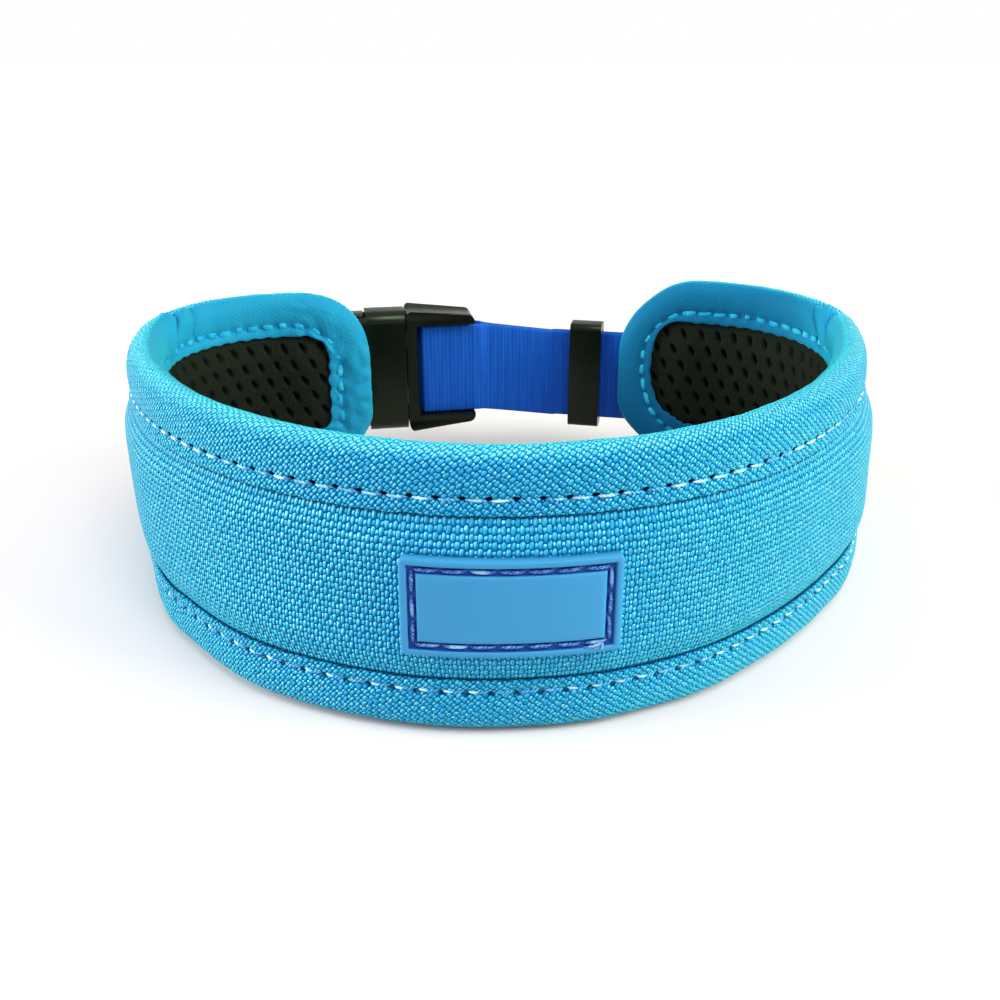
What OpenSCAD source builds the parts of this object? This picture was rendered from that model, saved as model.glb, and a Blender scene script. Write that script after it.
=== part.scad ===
// Padded dog collar, closed: a bound foam band with a webbing strap and a side-release buckle.
// Frame: +Z up, front of the loop towards -Y, origin under the middle of the bounding box.

/* [Band] */
// Height of the padded band
band_h = 50; // [44:1:60]
// Radius of the band's corners at both ends
end_r = 19; // [16:1:21]
// Radius of the middle of the band at the front
front_r = 70; // [65:1:80]
// Turn of the front arc towards the right
front_right_deg = 43; // [38:1:46]
// Turn of the front arc towards the left
front_left_deg = 22; // [18:1:26]
// Radius of the right side
right_r = 92; // [88:1:100]
// Turn of the right side
right_deg = 40.5; // [37:0.5:43]
// Radius of the left side
left_r = 81; // [76:1:88]
// Turn of the left side
left_deg = 60; // [56:1:63]
// Radius of the right back bend
right_back_r = 31.5; // [30:0.5:35]
// Turn of the right back bend
right_back_deg = 82.5; // [78:0.5:85]
// Radius of the left back bend
left_back_r = 29; // [27:1:33]
// Turn of the left back bend
left_back_deg = 87; // [84:1:90]
// Radius of the gentle curve at both ends
end_arc_r = 90; // [80:5:120]
// Turn of the gentle curve at the right end
right_end_deg = 2; // [1:0.5:3]
// Turn of the gentle curve at the left end
left_end_deg = 1; // [0.5:0.5:2]
// Outward lean of the foot of the side walls
side_lean_deg = 3.7; // [0:0.1:5]
// Rise of the right end off the table
right_lift = 1.2; // [0:0.1:2]

/* [Layers] */
// Thickness of the bound rim
rim_t = 6.8; // [6:0.2:8]
// Thickness of the folded binding tape
tape_t = 0.8; // [0.5:0.1:1]
// Width of the binding on the outer face
bind_out = 10.3; // [9:0.1:12]
// Width of the binding on the inner face
bind_in = 10; // [9:0.1:12]
// Distance of the topstitch from the binding's folded edge
stitch_in = 2.7; // [2:0.1:3.5]
// Depth of the channel that the topstitch draws in
stitch_sink = 0.35; // [0.1:0.05:0.35]
// Thickness of the woven outer panel
panel_t = 0.9; // [0.6:0.1:1.2]
// Thickness of the spacer-mesh lining
mesh_t = 1.8; // [1.2:0.1:2.2]
// Swell of the outer panel above the binding's seat
crown_out = 2; // [1:0.1:3]
// Swell of the lining above the binding's seat
crown_in = 1.7; // [1:0.1:2.5]
// Width of a sewing thread
thread_w = 0.7; // [0.4:0.1:0.9]
// Height of a sewing thread
thread_h = 0.45; // [0.3:0.05:0.6]
// Gap between sewn layers
skin_gap = 0.04; // [0.02:0.01:0.08]

/* [Badge] */
// Length of the rubber badge
badge_l = 32.5; // [28:0.5:40]
// Height of the rubber badge
badge_h = 17; // [15:0.1:19]
// Height of the badge's middle over the table
badge_z = 25; // [23:0.1:26]
// Offset of the badge from the middle of the front
badge_s = 1.7; // [-3:0.1:4]
// Thickness of the badge at its border
badge_t = 1.6; // [1.2:0.1:2]
// Width of the raised border
badge_border = 1.4; // [1:0.1:2]
// Width of the sunk stitch channel
badge_channel = 1.5; // [1.2:0.1:2]

/* [Webbing] */
// Width of the webbing
web_w = 23.5; // [22:0.5:26]
// Thickness of the webbing
web_t = 1.3; // [1:0.1:1.6]
// Length of the tab that is sewn to the left end
tab_sewn = 20; // [16:1:22]
// Length of the strap that is sewn to the right end
strap_sewn = 26; // [20:1:30]
// Distance of the strap's seam from the right tip
strap_seam_back = 13; // [10:1:16]
// Length of the strap's tail past the keeper
tail_past = 9; // [6:1:12]
// Drop of the strap below the band's middle
strap_drop = 1.6; // [0:0.1:2]
// Radius of the strap's bend between buckle and keeper
strap_bend_r = 8; // [6:1:12]

/* [Buckle] */
// Thickness of the female half
female_t = 10; // [9:0.2:12]
// Gap between the padded end and the female half
female_gap = 0.9; // [0.5:0.1:2]
// Rise of the buckle above the band's middle
buckle_rise = 1.7; // [0:0.1:2.2]
// Distance of the buckle's mouth past the left tip
mouth_past_tip = 9.6; // [8:0.1:11]
// Length of the closed collar at the mouth
mouth_l = 10; // [9:0.5:11]
// Length of the side windows
window_l = 11.2; // [10:0.2:12]
// Width of a webbing slot along the buckle
slot_l = 3.8; // [3.4:0.1:4.5]
// Width of the female half's webbing bar
bar_l = 3.6; // [3:0.1:4.5]
// Thickness of the female half's webbing bar
bar_t = 4; // [3.4:0.1:4.5]
// Width of a side wall of the female half
side_t = 2.2; // [2:0.1:3]
// Length of the male half's base
base_l = 18; // [16.5:0.5:20]
// Width of a side rail at the end of the male half
rail_w = 2.2; // [1.4:0.1:2.4]
// Thickness of the male half
male_t = 9.2; // [8.4:0.2:9.6]
// Thickness of the male half's crossbars
cross_t = 2.4; // [2:0.1:2.6]
// Thickness of a prong across the buckle
prong_t = 5.6; // [5:0.1:5.8]
// Width of a prong's arm
arm_w = 3.1; // [2.6:0.1:3.4]
// Reach of a prong's catch past its arm
catch_w = 1.8; // [1.4:0.1:2]
// Width of the male half's middle guide
guide_w = 9; // [6:0.5:9.5]
// Radius of a prong's root
root_r = 1.6; // [1.3:0.1:1.8]
// Running clearance of plastic parts
run_gap = 0.3; // [0.2:0.05:0.4]

/* [Keeper and ring] */
// Length of the keeper along the strap
keeper_l = 8.2; // [7.6:0.2:9]
// Wall of the keeper over the webbing's faces
keeper_wall = 1.7; // [1.4:0.1:2.2]
// Wall of the keeper over the webbing's edges
keeper_side = 2.1; // [1.8:0.1:2.6]
// Distance of the keeper's middle from the right tip
keeper_from_tip = 9.4; // [9:0.1:10]
// Straight run of the strap past the keeper, before its bend
keeper_play = 2.8; // [2.4:0.1:3.2]
// Thickness of the D-ring's wire
ring_wire = 4; // [3:0.1:4.2]
// Depth of the D-ring's opening
ring_open = 14; // [12:0.5:18]
// Angle of the D-ring off the buckle's line, lying on the tab
ring_rest_deg = 18; // [14:1:20]

/* [Hidden] */
$fn = 64;
eps = 0.02;

// Plan of the band's middle surface: tangent arcs from the front middle, then a straight end
right_arcs = [[front_r, front_right_deg], [right_r, right_deg], [right_back_r, right_back_deg],
    [end_arc_r, right_end_deg]];
left_arcs = [[front_r, front_left_deg], [left_r, left_deg], [left_back_r, left_back_deg],
    [end_arc_r, left_end_deg]];
function arc_len(arc) = arc[0] * arc[1] * PI / 180;
function turn(p, r, deg) = [
    p.x + r * (sin(p.z + deg) - sin(p.z)),
    p.y + r * (cos(p.z) - cos(p.z + deg)),
    p.z + deg
];
function walk(arcs, s, p = [0, 0, 0], i = 0) =
    i == len(arcs) ? [p.x + s * cos(p.z), p.y + s * sin(p.z), p.z]
    : s <= arc_len(arcs[i]) ? turn(p, arcs[i][0], s / arcs[i][0] * 180 / PI)
    : walk(arcs, s - arc_len(arcs[i]), turn(p, arcs[i][0], arcs[i][1]), i + 1);
function sum(v, i = 0) = i == len(v) ? 0 : v[i] + sum(v, i + 1);
run_right = sum([for (a = right_arcs) arc_len(a)]);
run_left = sum([for (a = left_arcs) arc_len(a)]);
tip_right = run_right + end_r;
tip_left = run_left + end_r;

// Place on the band: s along it from the front middle, w up from its middle, o outwards
half_h = band_h / 2;
function at(s) = s < 0
    ? let (p = walk(left_arcs, -s)) [-p.x, p.y, -sin(p.z), -cos(p.z), p.z]
    : let (p = walk(right_arcs, s)) [p.x, p.y, sin(p.z), -cos(p.z), p.z];
lean_peak_deg = 70;
function lean(turned) = turned < 2 * lean_peak_deg
    ? side_lean_deg * pow(sin(turned * 90 / lean_peak_deg), 2) : 0;
function lift(s) = s < tip_right / 2 ? 0
    : right_lift * pow(sin(90 * (s - tip_right / 2) / (tip_right / 2)), 2);
function raw(s, w, o) = let (p = at(s), k = o - w * tan(lean(p[4])))
    [p.x + k * p[2], p.y + k * p[3], half_h + w + lift(s)];

// Stations along the band, closer where it bends
function steps(arc) = max(ceil(arc[1] / 12), ceil(arc_len(arc) / 14));
function stations(arcs, i = 0, s0 = 0) = i == len(arcs) ? []
    : concat([for (k = [1 : steps(arcs[i])]) s0 + arc_len(arcs[i]) * k / steps(arcs[i])],
             stations(arcs, i + 1, s0 + arc_len(arcs[i])));
left_run = stations(left_arcs);
band_run = concat([for (i = [len(left_run) - 1 : -1 : 0]) -left_run[i]], [0], stations(right_arcs));

// Closed outline of a sheet with round corners, at a distance d in from its edge
corner_steps = 3;
least_corner = 0.3;
function outline(run, hh, r, d, w0 = 0) =
    let (n = len(run), rd = max(r - d, least_corner), k = hh - d - rd)
    concat(
        [for (s = run) [s, w0 + k + rd]],
        [for (q = [1 : corner_steps]) turned_corner(run[n - 1], w0 + k, rd, 90 - 90 * q / corner_steps)],
        [for (q = [0 : corner_steps - 1]) turned_corner(run[n - 1], w0 - k, rd, -90 * q / corner_steps)],
        [for (i = [n - 1 : -1 : 0]) [run[i], w0 - k - rd]],
        [for (q = [1 : corner_steps]) turned_corner(run[0], w0 - k, rd, -90 - 90 * q / corner_steps)],
        [for (q = [0 : corner_steps - 1]) turned_corner(run[0], w0 + k, rd, 180 - 90 * q / corner_steps)]);
function turned_corner(s, w, r, a) = [s + r * cos(a), w + r * sin(a)];
function band_ring(d, o) = [for (p = outline(band_run, half_h, end_r, d)) raw(p.x, p.y, o)];

// Faces of swept and dished solids, listed clockwise from outside
function strip(a, b, m) = [for (i = [0 : m - 1]) let (j = (i + 1) % m)
    each [[a + i, a + j, b + j], [a + i, b + j, b + i]]];
function lid(a, n) = let (k = 2 * corner_steps, m = 2 * n + 2 * k, c = 2 * n + k - 1) concat(
    [for (i = [0 : n - 2]) let (b = c - i) each [[a + i, a + i + 1, a + b - 1], [a + i, a + b - 1, a + b]]],
    [for (j = [n : n + k - 1]) [a + n - 1, a + j, a + j + 1]],
    [for (j = [c + 1 : m - 1]) [a + c, a + j, a + (j + 1) % m]]);
function flipped(faces) = [for (f = faces) [f[0], f[2], f[1]]];
// A sheet between an outer and an inner list of rings, each from the edge to the middle
module dish(outer, inner, n) {
    m = len(outer[0]);
    k = len(outer);
    q = len(inner);
    polyhedron(
        points = [for (r = concat(outer, inner)) each r],
        faces = concat(
            [for (i = [0 : k - 2]) each strip(i * m, (i + 1) * m, m)],
            [for (i = [0 : q - 2]) each strip((k + i + 1) * m, (k + i) * m, m)],
            strip(k * m, 0, m),
            lid((k - 1) * m, n),
            flipped(lid((k + q - 1) * m, n))),
        convexity = 8);
}
// A tube through rings of points, either closed on itself or capped at both ends
module tube(rings, closed = false) {
    m = len(rings[0]);
    n = len(rings);
    polyhedron(
        points = [for (r = rings) each r],
        faces = concat(
            [for (i = [0 : closed ? n - 1 : n - 2]) each flipped(strip(i * m, ((i + 1) % n) * m, m))],
            closed ? [] : [for (j = [1 : m - 2]) [0, j, j + 1]],
            closed ? [] : [for (j = [1 : m - 2]) let (a = (n - 1) * m) [a, a + j + 1, a + j]]),
        convexity = 8);
}

// Layers of the band as distances in from the rim and heights off its middle surface
rim_r = rim_t / 2;
seat = rim_r - tape_t;
under = seat - skin_gap;
crown_d = end_r - 2;
swell = [0, 0.35, 0.7, 1];
function crown(from, height) = [for (k = swell)
    [from + k * (crown_d - from), under + height * sin(90 * k)]];
panel_face = concat([[rim_r, under]], crown(bind_out + skin_gap, crown_out));
mesh_face = concat([[rim_r, under]], crown(bind_in + skin_gap, crown_in));
plateau = under + crown_out;
function back_of(face, t) = [face[0] - [0, t], face[1] - [0, t], face[len(face) - 1] - [0, t]];
panel_back = back_of(panel_face, panel_t);
mesh_back = back_of(mesh_face, mesh_t);
foam_edge_d = rim_r * 0.65;
foam_edge_o = 0.7;
stitch_o = rim_r - stitch_sink;
// The rim is flat for this width, so that the band stands on its lower edge
rim_flat = 0.84 * rim_r;
tape_section = [
    [bind_out, seat], [bind_out, rim_r - 0.1], [bind_out - stitch_in, stitch_o],
    [1.55 * rim_r, 1.04 * rim_r], [0.25 * rim_r, 0.78 * rim_r], [0, rim_flat / 2],
    [0, -rim_flat / 2], [0.25 * rim_r, -0.78 * rim_r], [1.55 * rim_r, -1.04 * rim_r],
    [bind_in - stitch_in, -stitch_o], [bind_in, 0.1 - rim_r], [bind_in, -seat],
    [rim_r, -seat], [tape_t, 0], [rim_r, seat]
];

// Sewing threads: a diamond bead along points on the band, on the outer or the inner side
function along(path, i, closed) = let (n = len(path),
    a = path[closed ? (i + n - 1) % n : max(i - 1, 0)],
    b = path[closed ? (i + 1) % n : min(i + 1, n - 1)]) (b - a) / norm(b - a);
function bead_ring(p, e, o, side) = let (q = [-e.y, e.x] * thread_w / 2 * side, h = thread_h * side) [
    [p.x, p.y, o], [p.x + q.x, p.y + q.y, o + h / 2], [p.x, p.y, o + h], [p.x - q.x, p.y - q.y, o + h / 2]];
function bead(path, o, side = 1, closed = false) = [for (i = [0 : len(path) - 1])
    bead_ring(path[i], along(path, i, closed), o + skin_gap * side, side)];
function on_band(rings) = [for (r = rings) [for (p = r) raw(p.x, p.y, p.z)]];
function on_web(rings, rise) = [for (r = rings) [for (p = r) web(p.x, p.y + rise, p.z)]];
function split(a, b, n) = [for (i = [0 : n]) a + (b - a) * i / n];
// Box and cross of a webbing seam, from s0 to s1
seam_in = 2.2;
seam_w = web_w / 2 - seam_in;
module box_seam(s0, s1, o, rise) {
    for (w = [-seam_w, seam_w]) tube(on_web(bead(split([s0 + thread_w, w], [s1 - thread_w, w], 7), o), rise));
    for (s = [s0, s1]) tube(on_web(bead(split([s, -seam_w], [s, seam_w], 1), o), rise));
    inset = [1.5 * thread_w, 1.5 * thread_w];
    a = [s0, -seam_w] + inset;
    b = [s1, seam_w] - inset;
    middle = (a + b) / 2;
    tube(on_web(bead(split(a, b, 8), o), rise));
    for (k = [-1, 1]) let (end = middle + [k, -k * (b.y - a.y) / (b.x - a.x)] * (b.x - a.x) / 2,
        near = middle + (end - middle) * 0.14)
        tube(on_web(bead(split(near, end, 4), o), rise));
}

// Badge: heights over the panel at distances in from its edge
badge_w0 = badge_z - half_h;
badge_corner = 1.5;
badge_seat = 0.1;
badge_sunk = badge_t * 0.55;
badge_wall = 0.15;
plaque_d = badge_border + badge_channel;
badge_top = [
    [0, badge_t - 0.3], [0.3, badge_t], [badge_border, badge_t],
    [badge_border + badge_wall, badge_sunk], [plaque_d - badge_wall, badge_sunk],
    [plaque_d, badge_t - 0.1], [plaque_d + 1.5, badge_t]
];
badge_back = [[0, 0], [badge_border, 0], [plaque_d, 0], [plaque_d + 1.5, 0]];
function badge_run(d) = let (rd = max(badge_corner - d, least_corner), k = badge_l / 2 - d - rd)
    [for (q = [-1 : 1 / 3 : 1.01]) badge_s + q * k];
function badge_seat_o(w) = min(plateau, lookup(half_h - abs(w), panel_face)) + badge_seat;
function badge_outline(d) = outline(badge_run(d), badge_h / 2, badge_corner, d, badge_w0);
function badge_ring(d, h) = [for (p = badge_outline(d)) raw(p.x, p.y, badge_seat_o(p.y) + h)];

// Webbing on the band, without the band's lift
function web(s, w, o) = let (p = raw(s, w, o)) [p.x, p.y, half_h + w];
lay_gap = 0.1;
first_o = plateau + lay_gap / 2 + web_t / 2;
second_o = first_o + web_t + lay_gap;
pair_o = (first_o + second_o) / 2;
// A webbing path is a list of points at its upper edge, each with its lower edge
function sewn(s, o, rise) = [web(s, rise + web_w / 2, o), web(s, rise - web_w / 2, o)];
function standing(p, rise) = [[p.x, p.y, half_h + rise + web_w / 2], [p.x, p.y, half_h + rise - web_w / 2]];
function web_ring(path, i) = let (
    a = path[max(i - 1, 0)], b = path[min(i + 1, len(path) - 1)], d = b[0] + b[1] - a[0] - a[1],
    n = [d.y, -d.x, 0] / norm([d.x, d.y]) * web_t / 2)
    [path[i][0] - n, path[i][0] + n, path[i][1] + n, path[i][1] - n];
module webbing(path) tube([for (i = [0 : len(path) - 1]) web_ring(path, i)]);

// Buckle frame: x along the strap from the mouth, y outwards, z up from the band's middle
left_tip = at(-tip_left);
buckle_deg = 180 - left_tip[4];
along_b = [cos(buckle_deg), sin(buckle_deg)];
out_b = [left_tip[2], left_tip[3]];
buckle_o = plateau + female_gap + female_t / 2;
mouth = [left_tip.x, left_tip.y] + out_b * buckle_o + along_b * mouth_past_tip;
function in_plan(p) = mouth + along_b * p.x + out_b * p.y;
function on_buckle(p) = standing(in_plan(p), buckle_rise);
module buckle_place() translate([mouth.x, mouth.y, half_h + buckle_rise])
    rotate([0, 0, buckle_deg]) children();

// Sizes of the buckle along its line
rest_gap = 0.05;
web_slot = web_w / 2 + 0.35;
prong_room = 1.9;
cavity_w = web_w / 2 + prong_room;
female_w = cavity_w + side_t;
rear_w = cavity_w + side_t - 1.2;
cavity_t = prong_t / 2 + run_gap;
window_end = mouth_l + window_l;
rear_wall = 2.2;
slot_start = window_end + 1 + rear_wall;
bar_start = slot_start + slot_l;
female_l = bar_start + bar_l;
bar_x = -(bar_start + bar_l / 2);
wrap_o = bar_t / 2 + rest_gap + web_t / 2;
front_wall = 2.6;
web_room = 0.3;
cross_slot = web_t + rest_gap + web_room;
cross_start = run_gap + front_wall + cross_slot;
cross_l = 2.8;
end_bar = 3;
cross_o = cross_t / 2 + rest_gap + web_t / 2;
base_w = web_slot + rail_w;
male_w = female_w - 0.45;
male_corner = 1.6;
mouth_corner = 1.2;
// The webbing lies on the lower rail of the male half
web_sag = 0.25;
arm_out = cavity_w - run_gap;
root_x = run_gap - 0.6;
root_w = arm_out - arm_w / 2;
catch_x = -(mouth_l + run_gap);
prong_end = -(window_end - 0.7);
guide_l = 18;

// D-ring: its straight bar lies in the tab's fold, behind the female half
ring_r = ring_wire / 2;
ring_x = -(female_l + 0.6 + ring_r);
ring_half = web_w / 2 + 0.4 + ring_r;
ring_reach = ring_open + ring_wire;
ring_play = 0.3;
ring_wrap = ring_r + ring_play + web_t / 2;

// Tab: up from its seam, round the bar and back down over the ring's bar
tab_fall = 4.9;
tab_seam_in = 2.2;
tab_from_tip = -ring_x - mouth_past_tip;
tab_s1 = -(tip_left - tab_from_tip - tab_fall);
tab_s0 = tab_s1 + tab_sewn;
turn_x = -(bar_start + bar_t / 2);
tab_path = concat(
    [for (s = split(tab_s0, tab_s1, 7)) sewn(s, first_o, buckle_rise)],
    [for (p = [[ring_x - 0.6, -ring_wrap], [ring_x + 0.8, -ring_wrap], [turn_x, -wrap_o]]) on_buckle(p)],
    [for (a = [-60 : 20 : 60]) on_buckle([turn_x + wrap_o * cos(a), wrap_o * sin(a)])],
    [on_buckle([turn_x, wrap_o])],
    [for (a = [90 : 15 : 165]) on_buckle([ring_x + ring_wrap * cos(a), ring_wrap * sin(a)])],
    [for (s = split(tab_s1, tab_s0, 7)) sewn(s, second_o, buckle_rise)]);

// Strap: straight off the right end, then a bend towards the male half
right_tip = at(tip_right);
along_r = [cos(right_tip[4]), sin(right_tip[4])];
out_r = [right_tip[2], right_tip[3]];
right_line = [right_tip.x, right_tip.y] + out_r * pair_o;
keeper_mid = right_line + along_r * keeper_from_tip;
bend_centre = keeper_mid + along_r * (keeper_l / 2 + keeper_play) - out_r * strap_bend_r;
spread_x = base_l + 5;
bend_to = in_plan([spread_x, 0]) - bend_centre;
bend_a0 = right_tip[4] - 90;
bend_a1 = (atan2(bend_to.y, bend_to.x) + 360) % 360 + asin(strap_bend_r / norm(bend_to)) - 90;
pair_half = (second_o - first_o) / 2;
// Between the male half and the bend the strap falls evenly
male_rise = buckle_rise - web_sag;
spread_past = spread_x - base_l;
spread_rise = male_rise - (male_rise + strap_drop) * spread_past / (spread_past + norm(bend_to));
function in_male(p) = standing(in_plan(p), male_rise);
function bend(r, a0, a1) = [for (a = split(a0, a1, 4))
    standing(bend_centre + r * [cos(a), sin(a)], -strap_drop)];
cross_x = cross_start + cross_t / 2;
tail_s = tip_right + keeper_from_tip - keeper_l / 2 - tail_past;
strap_s0 = tip_right - strap_seam_back - strap_sewn;
strap_path = concat(
    [for (s = split(strap_s0 - 3, tip_right, 11)) sewn(s, first_o, -strap_drop)],
    bend(strap_bend_r - pair_half, bend_a0, bend_a1),
    [standing(in_plan([spread_x, -pair_half]), spread_rise)],
    [for (p = [[base_l, -cross_o], [cross_x, -cross_o]]) in_male(p)],
    [for (a = [120 : 30 : 240]) in_male([cross_x + cross_o * cos(a), -cross_o * sin(a)])],
    [for (p = [[cross_x, cross_o], [base_l, cross_o]]) in_male(p)],
    [standing(in_plan([spread_x, pair_half]), spread_rise)],
    bend(strap_bend_r + pair_half, bend_a1, bend_a0),
    [for (s = [tip_right, tail_s]) sewn(s, second_o, -strap_drop)]);

// Keeper frame: x along the strap, y outwards
keeper_open_t = 2 * web_t + lay_gap + 2 * run_gap;
keeper_t = keeper_open_t + 2 * keeper_wall;
keeper_open_h = web_w + 2 * run_gap;
keeper_h = keeper_open_h + 2 * keeper_side;
module keeper_place() translate([keeper_mid.x, keeper_mid.y, half_h - strap_drop])
    rotate([0, 0, right_tip[4] - 180]) children();

// The origin lies under the middle of the box
tape_points = [for (p = tape_section) each band_ring(p.x, p.y)];
panel_points = [for (p = panel_face) each band_ring(p.x, p.y)];
badge_points = [for (p = badge_top) each badge_ring(p.x, p.y)];
box_x = [for (p = concat(tape_points, panel_points)) p.x];
keeper_back = keeper_mid.y + keeper_t / 2 * cos(right_tip[4] - 180) + keeper_l / 2 * sin(180 - right_tip[4]);
female_back = mouth.y + female_t / 2 * cos(buckle_deg);
front_y = min([for (p = badge_points) p.y]);
centre_x = (max(box_x) + min(box_x)) / 2;
centre_y = (max(keeper_back, female_back) + front_y) / 2;
module centred() translate([-centre_x, -centre_y, 0]) children();

// Rectangle with round corners, about its middle
module round_rect(x, y, r) {
    square([x - 2 * r, y], center = true);
    square([x, y - 2 * r], center = true);
    for (i = [-1, 1], j = [-1, 1]) translate([i * (x / 2 - r), j * (y / 2 - r)]) circle(r);
}
module block(x0, x1, y, z) translate([x0, -y / 2, -z / 2]) cube([x1 - x0, y, z]);
// A bar along x with a round-cornered section
module bar_x_section(x0, x1, y, z, r)
    translate([x0, 0, 0]) rotate([90, 0, 90]) linear_extrude(x1 - x0) round_rect(y, z, r);

module outer_panel() color("#2F9CC9") centred()
    dish([for (p = panel_face) band_ring(p.x, p.y)],
         [for (p = panel_back) band_ring(p.x, p.y)], len(band_run));

module foam_pad() color("#E6E2D6") centred()
    dish(concat([band_ring(foam_edge_d, foam_edge_o)], [for (p = panel_back) band_ring(p.x, p.y - skin_gap)]),
         concat([band_ring(foam_edge_d, -foam_edge_o)], [for (p = mesh_back) band_ring(p.x, skin_gap - p.y)]),
         len(band_run));

module mesh_lining() color("#1B1E19") centred()
    dish([for (p = mesh_back) band_ring(p.x, -p.y)],
         [for (p = mesh_face) band_ring(p.x, -p.y)], len(band_run));

module edge_binding() color("#2A93C4") centred()
    tube([for (i = [0 : 2 * len(band_run) + 4 * corner_steps - 1])
        [for (p = tape_section) let (q = outline(band_run, half_h, end_r, p.x)[i]) raw(q.x, q.y, p.y)]],
         closed = true);

module needle_thread() color("#8FD0EC") centred()
    tube(on_band(bead(outline(band_run, half_h, end_r, bind_out - stitch_in), stitch_o, 1, true)),
         closed = true);

module bobbin_thread() color("#8FD0EC") centred()
    tube(on_band(bead(outline(band_run, half_h, end_r, bind_in - stitch_in), -stitch_o, -1, true)),
         closed = true);

module badge_patch() color("#2C86C6") centred()
    dish([for (p = badge_top) badge_ring(p.x, p.y)],
         [for (p = badge_back) badge_ring(p.x, p.y)], len(badge_run(0)));

module badge_stitches() color("#7FC4F0") centred() {
    path = badge_outline(badge_border + badge_channel / 2);
    tube([for (i = [0 : len(path) - 1])
        [for (p = bead_ring(path[i], along(path, i, true), badge_sunk + skin_gap, 1))
            raw(p.x, p.y, badge_seat_o(p.y) + p.z)]], closed = true);
}

module buckle_tab() color("#1F5BC0") centred() webbing(tab_path);

module tab_stitches() color("#2E6FD6") centred()
    box_seam(tab_s1 + tab_seam_in, tab_s0 - tab_seam_in, second_o + web_t / 2, buckle_rise);

module d_ring() color("#C9CCD0") centred() buckle_place()
    translate([ring_x, 0, 0]) rotate([0, 0, ring_rest_deg]) {
    cylinder(r = ring_r, h = 2 * ring_half, center = true);
    for (k = [-1, 1]) translate([0, 0, k * ring_half]) {
        sphere(ring_r);
        rotate([0, -90, 0]) cylinder(r = ring_r, h = ring_reach - ring_half);
    }
    translate([ring_half - ring_reach, 0, 0]) rotate([90, 0, 0]) rotate([0, 0, 90])
        rotate_extrude(angle = 180) translate([ring_half, 0]) circle(ring_r);
}

module female_buckle() color("#1A1C1B") centred() buckle_place() difference() {
    union() {
        bar_x_section(-mouth_l, 0, female_t, 2 * female_w, 3);
        bar_x_section(-female_l, -mouth_l + eps, female_t - 0.8, 2 * rear_w, 2);
    }
    block(-window_end - 1, 1, 2 * cavity_t, 2 * cavity_w);
    block(-window_end, -mouth_l, 2 * cavity_t, 4 * female_w);
    block(-bar_start, -slot_start, 2 * female_t, 2 * web_slot);
    for (k = [-1, 1]) translate([0, k * (bar_t + female_t) / 2, 0])
        block(-female_l - 1, -bar_start + eps, female_t, 2 * web_slot);
    // The bar's edge is round where the tab turns
    difference() {
        block(turn_x, -bar_start + eps, bar_t + 1, 2 * web_slot);
        translate([turn_x, 0, 0]) cylinder(r = bar_t / 2, h = 4 * web_slot, center = true);
    }
}

module male_buckle() color("#1A1C1B") centred() buckle_place() {
    difference() {
        rotate([90, 0, 0]) linear_extrude(male_t, center = true) hull() for (k = [-1, 1]) {
            translate([run_gap + mouth_corner, k * (male_w - mouth_corner)]) circle(mouth_corner);
            translate([base_l - male_corner, k * (base_w - male_corner)]) circle(male_corner);
        }
        block(run_gap + front_wall, cross_start, 2 * male_t, 2 * web_slot);
        block(cross_start + cross_l, base_l - end_bar, 2 * male_t, 2 * web_slot);
        for (k = [-1, 1]) translate([0, k * (cross_t + male_t) / 2, 0])
            block(cross_start - 1, base_l + 1, male_t, 2 * web_slot);
        for (k = [-1, 1]) translate([0, 0, k * root_w]) {
            translate([root_x, 0, 0]) rotate([90, 0, 0])
                cylinder(r = root_r + rest_gap, h = 2 * cavity_t, center = true);
            block(-1, root_x + 0.8, 2 * cavity_t, arm_w + 1.4);
        }
        // The crossbar's edge is round where the strap turns
        difference() {
            block(cross_start - eps, cross_x, cross_t + 1, 2 * web_slot);
            translate([cross_x, 0, 0]) cylinder(r = cross_t / 2, h = 4 * web_slot, center = true);
        }
    }
    block(-guide_l, run_gap + 1, prong_t - 0.4, guide_w);
}

// A prong lies along the buckle's line with its catch away from the middle
module prong() rotate([90, 0, 0]) linear_extrude(prong_t, center = true) {
    translate([root_x, root_w]) circle(root_r);
    translate([catch_x, root_w - arm_w / 2]) square([root_x - catch_x, arm_w]);
    polygon([
        [catch_x + eps, root_w - arm_w / 2], [catch_x, arm_out + catch_w],
        [catch_x - 3, arm_out + catch_w], [prong_end + 1.5, arm_out + catch_w - 1.2],
        [prong_end, arm_out - 0.8], [prong_end, root_w - arm_w / 2 + 0.6],
        [prong_end + 1, root_w - arm_w / 2]
    ]);
}

module upper_prong() color("#20231F") centred() buckle_place() prong();

module lower_prong() color("#20231F") centred() buckle_place() mirror([0, 0, 1]) prong();

module strap() color("#1F5BC0") centred() webbing(strap_path);

module strap_stitches() color("#2E6FD6") centred()
    box_seam(strap_s0, strap_s0 + strap_sewn, first_o + web_t / 2, -strap_drop);

module tail_stitches() color("#2E6FD6") centred()
    for (k = [1.5, 3])
        tube(on_web(bead([[tail_s + k, -seam_w], [tail_s + k, seam_w]], second_o + web_t / 2), -strap_drop));

module strap_keeper() color("#1A1C1B") centred() keeper_place() difference() {
    bar_x_section(-keeper_l / 2, keeper_l / 2, keeper_t, keeper_h, 1.6);
    block(-keeper_l, keeper_l, keeper_open_t, keeper_open_h);
}

outer_panel();
foam_pad();
mesh_lining();
edge_binding();
needle_thread();
bobbin_thread();
badge_patch();
badge_stitches();
buckle_tab();
tab_stitches();
d_ring();
female_buckle();
male_buckle();
upper_prong();
lower_prong();
strap();
strap_stitches();
tail_stitches();
strap_keeper();
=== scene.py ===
import math

import bmesh
import bpy
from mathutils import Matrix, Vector, noise


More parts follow.
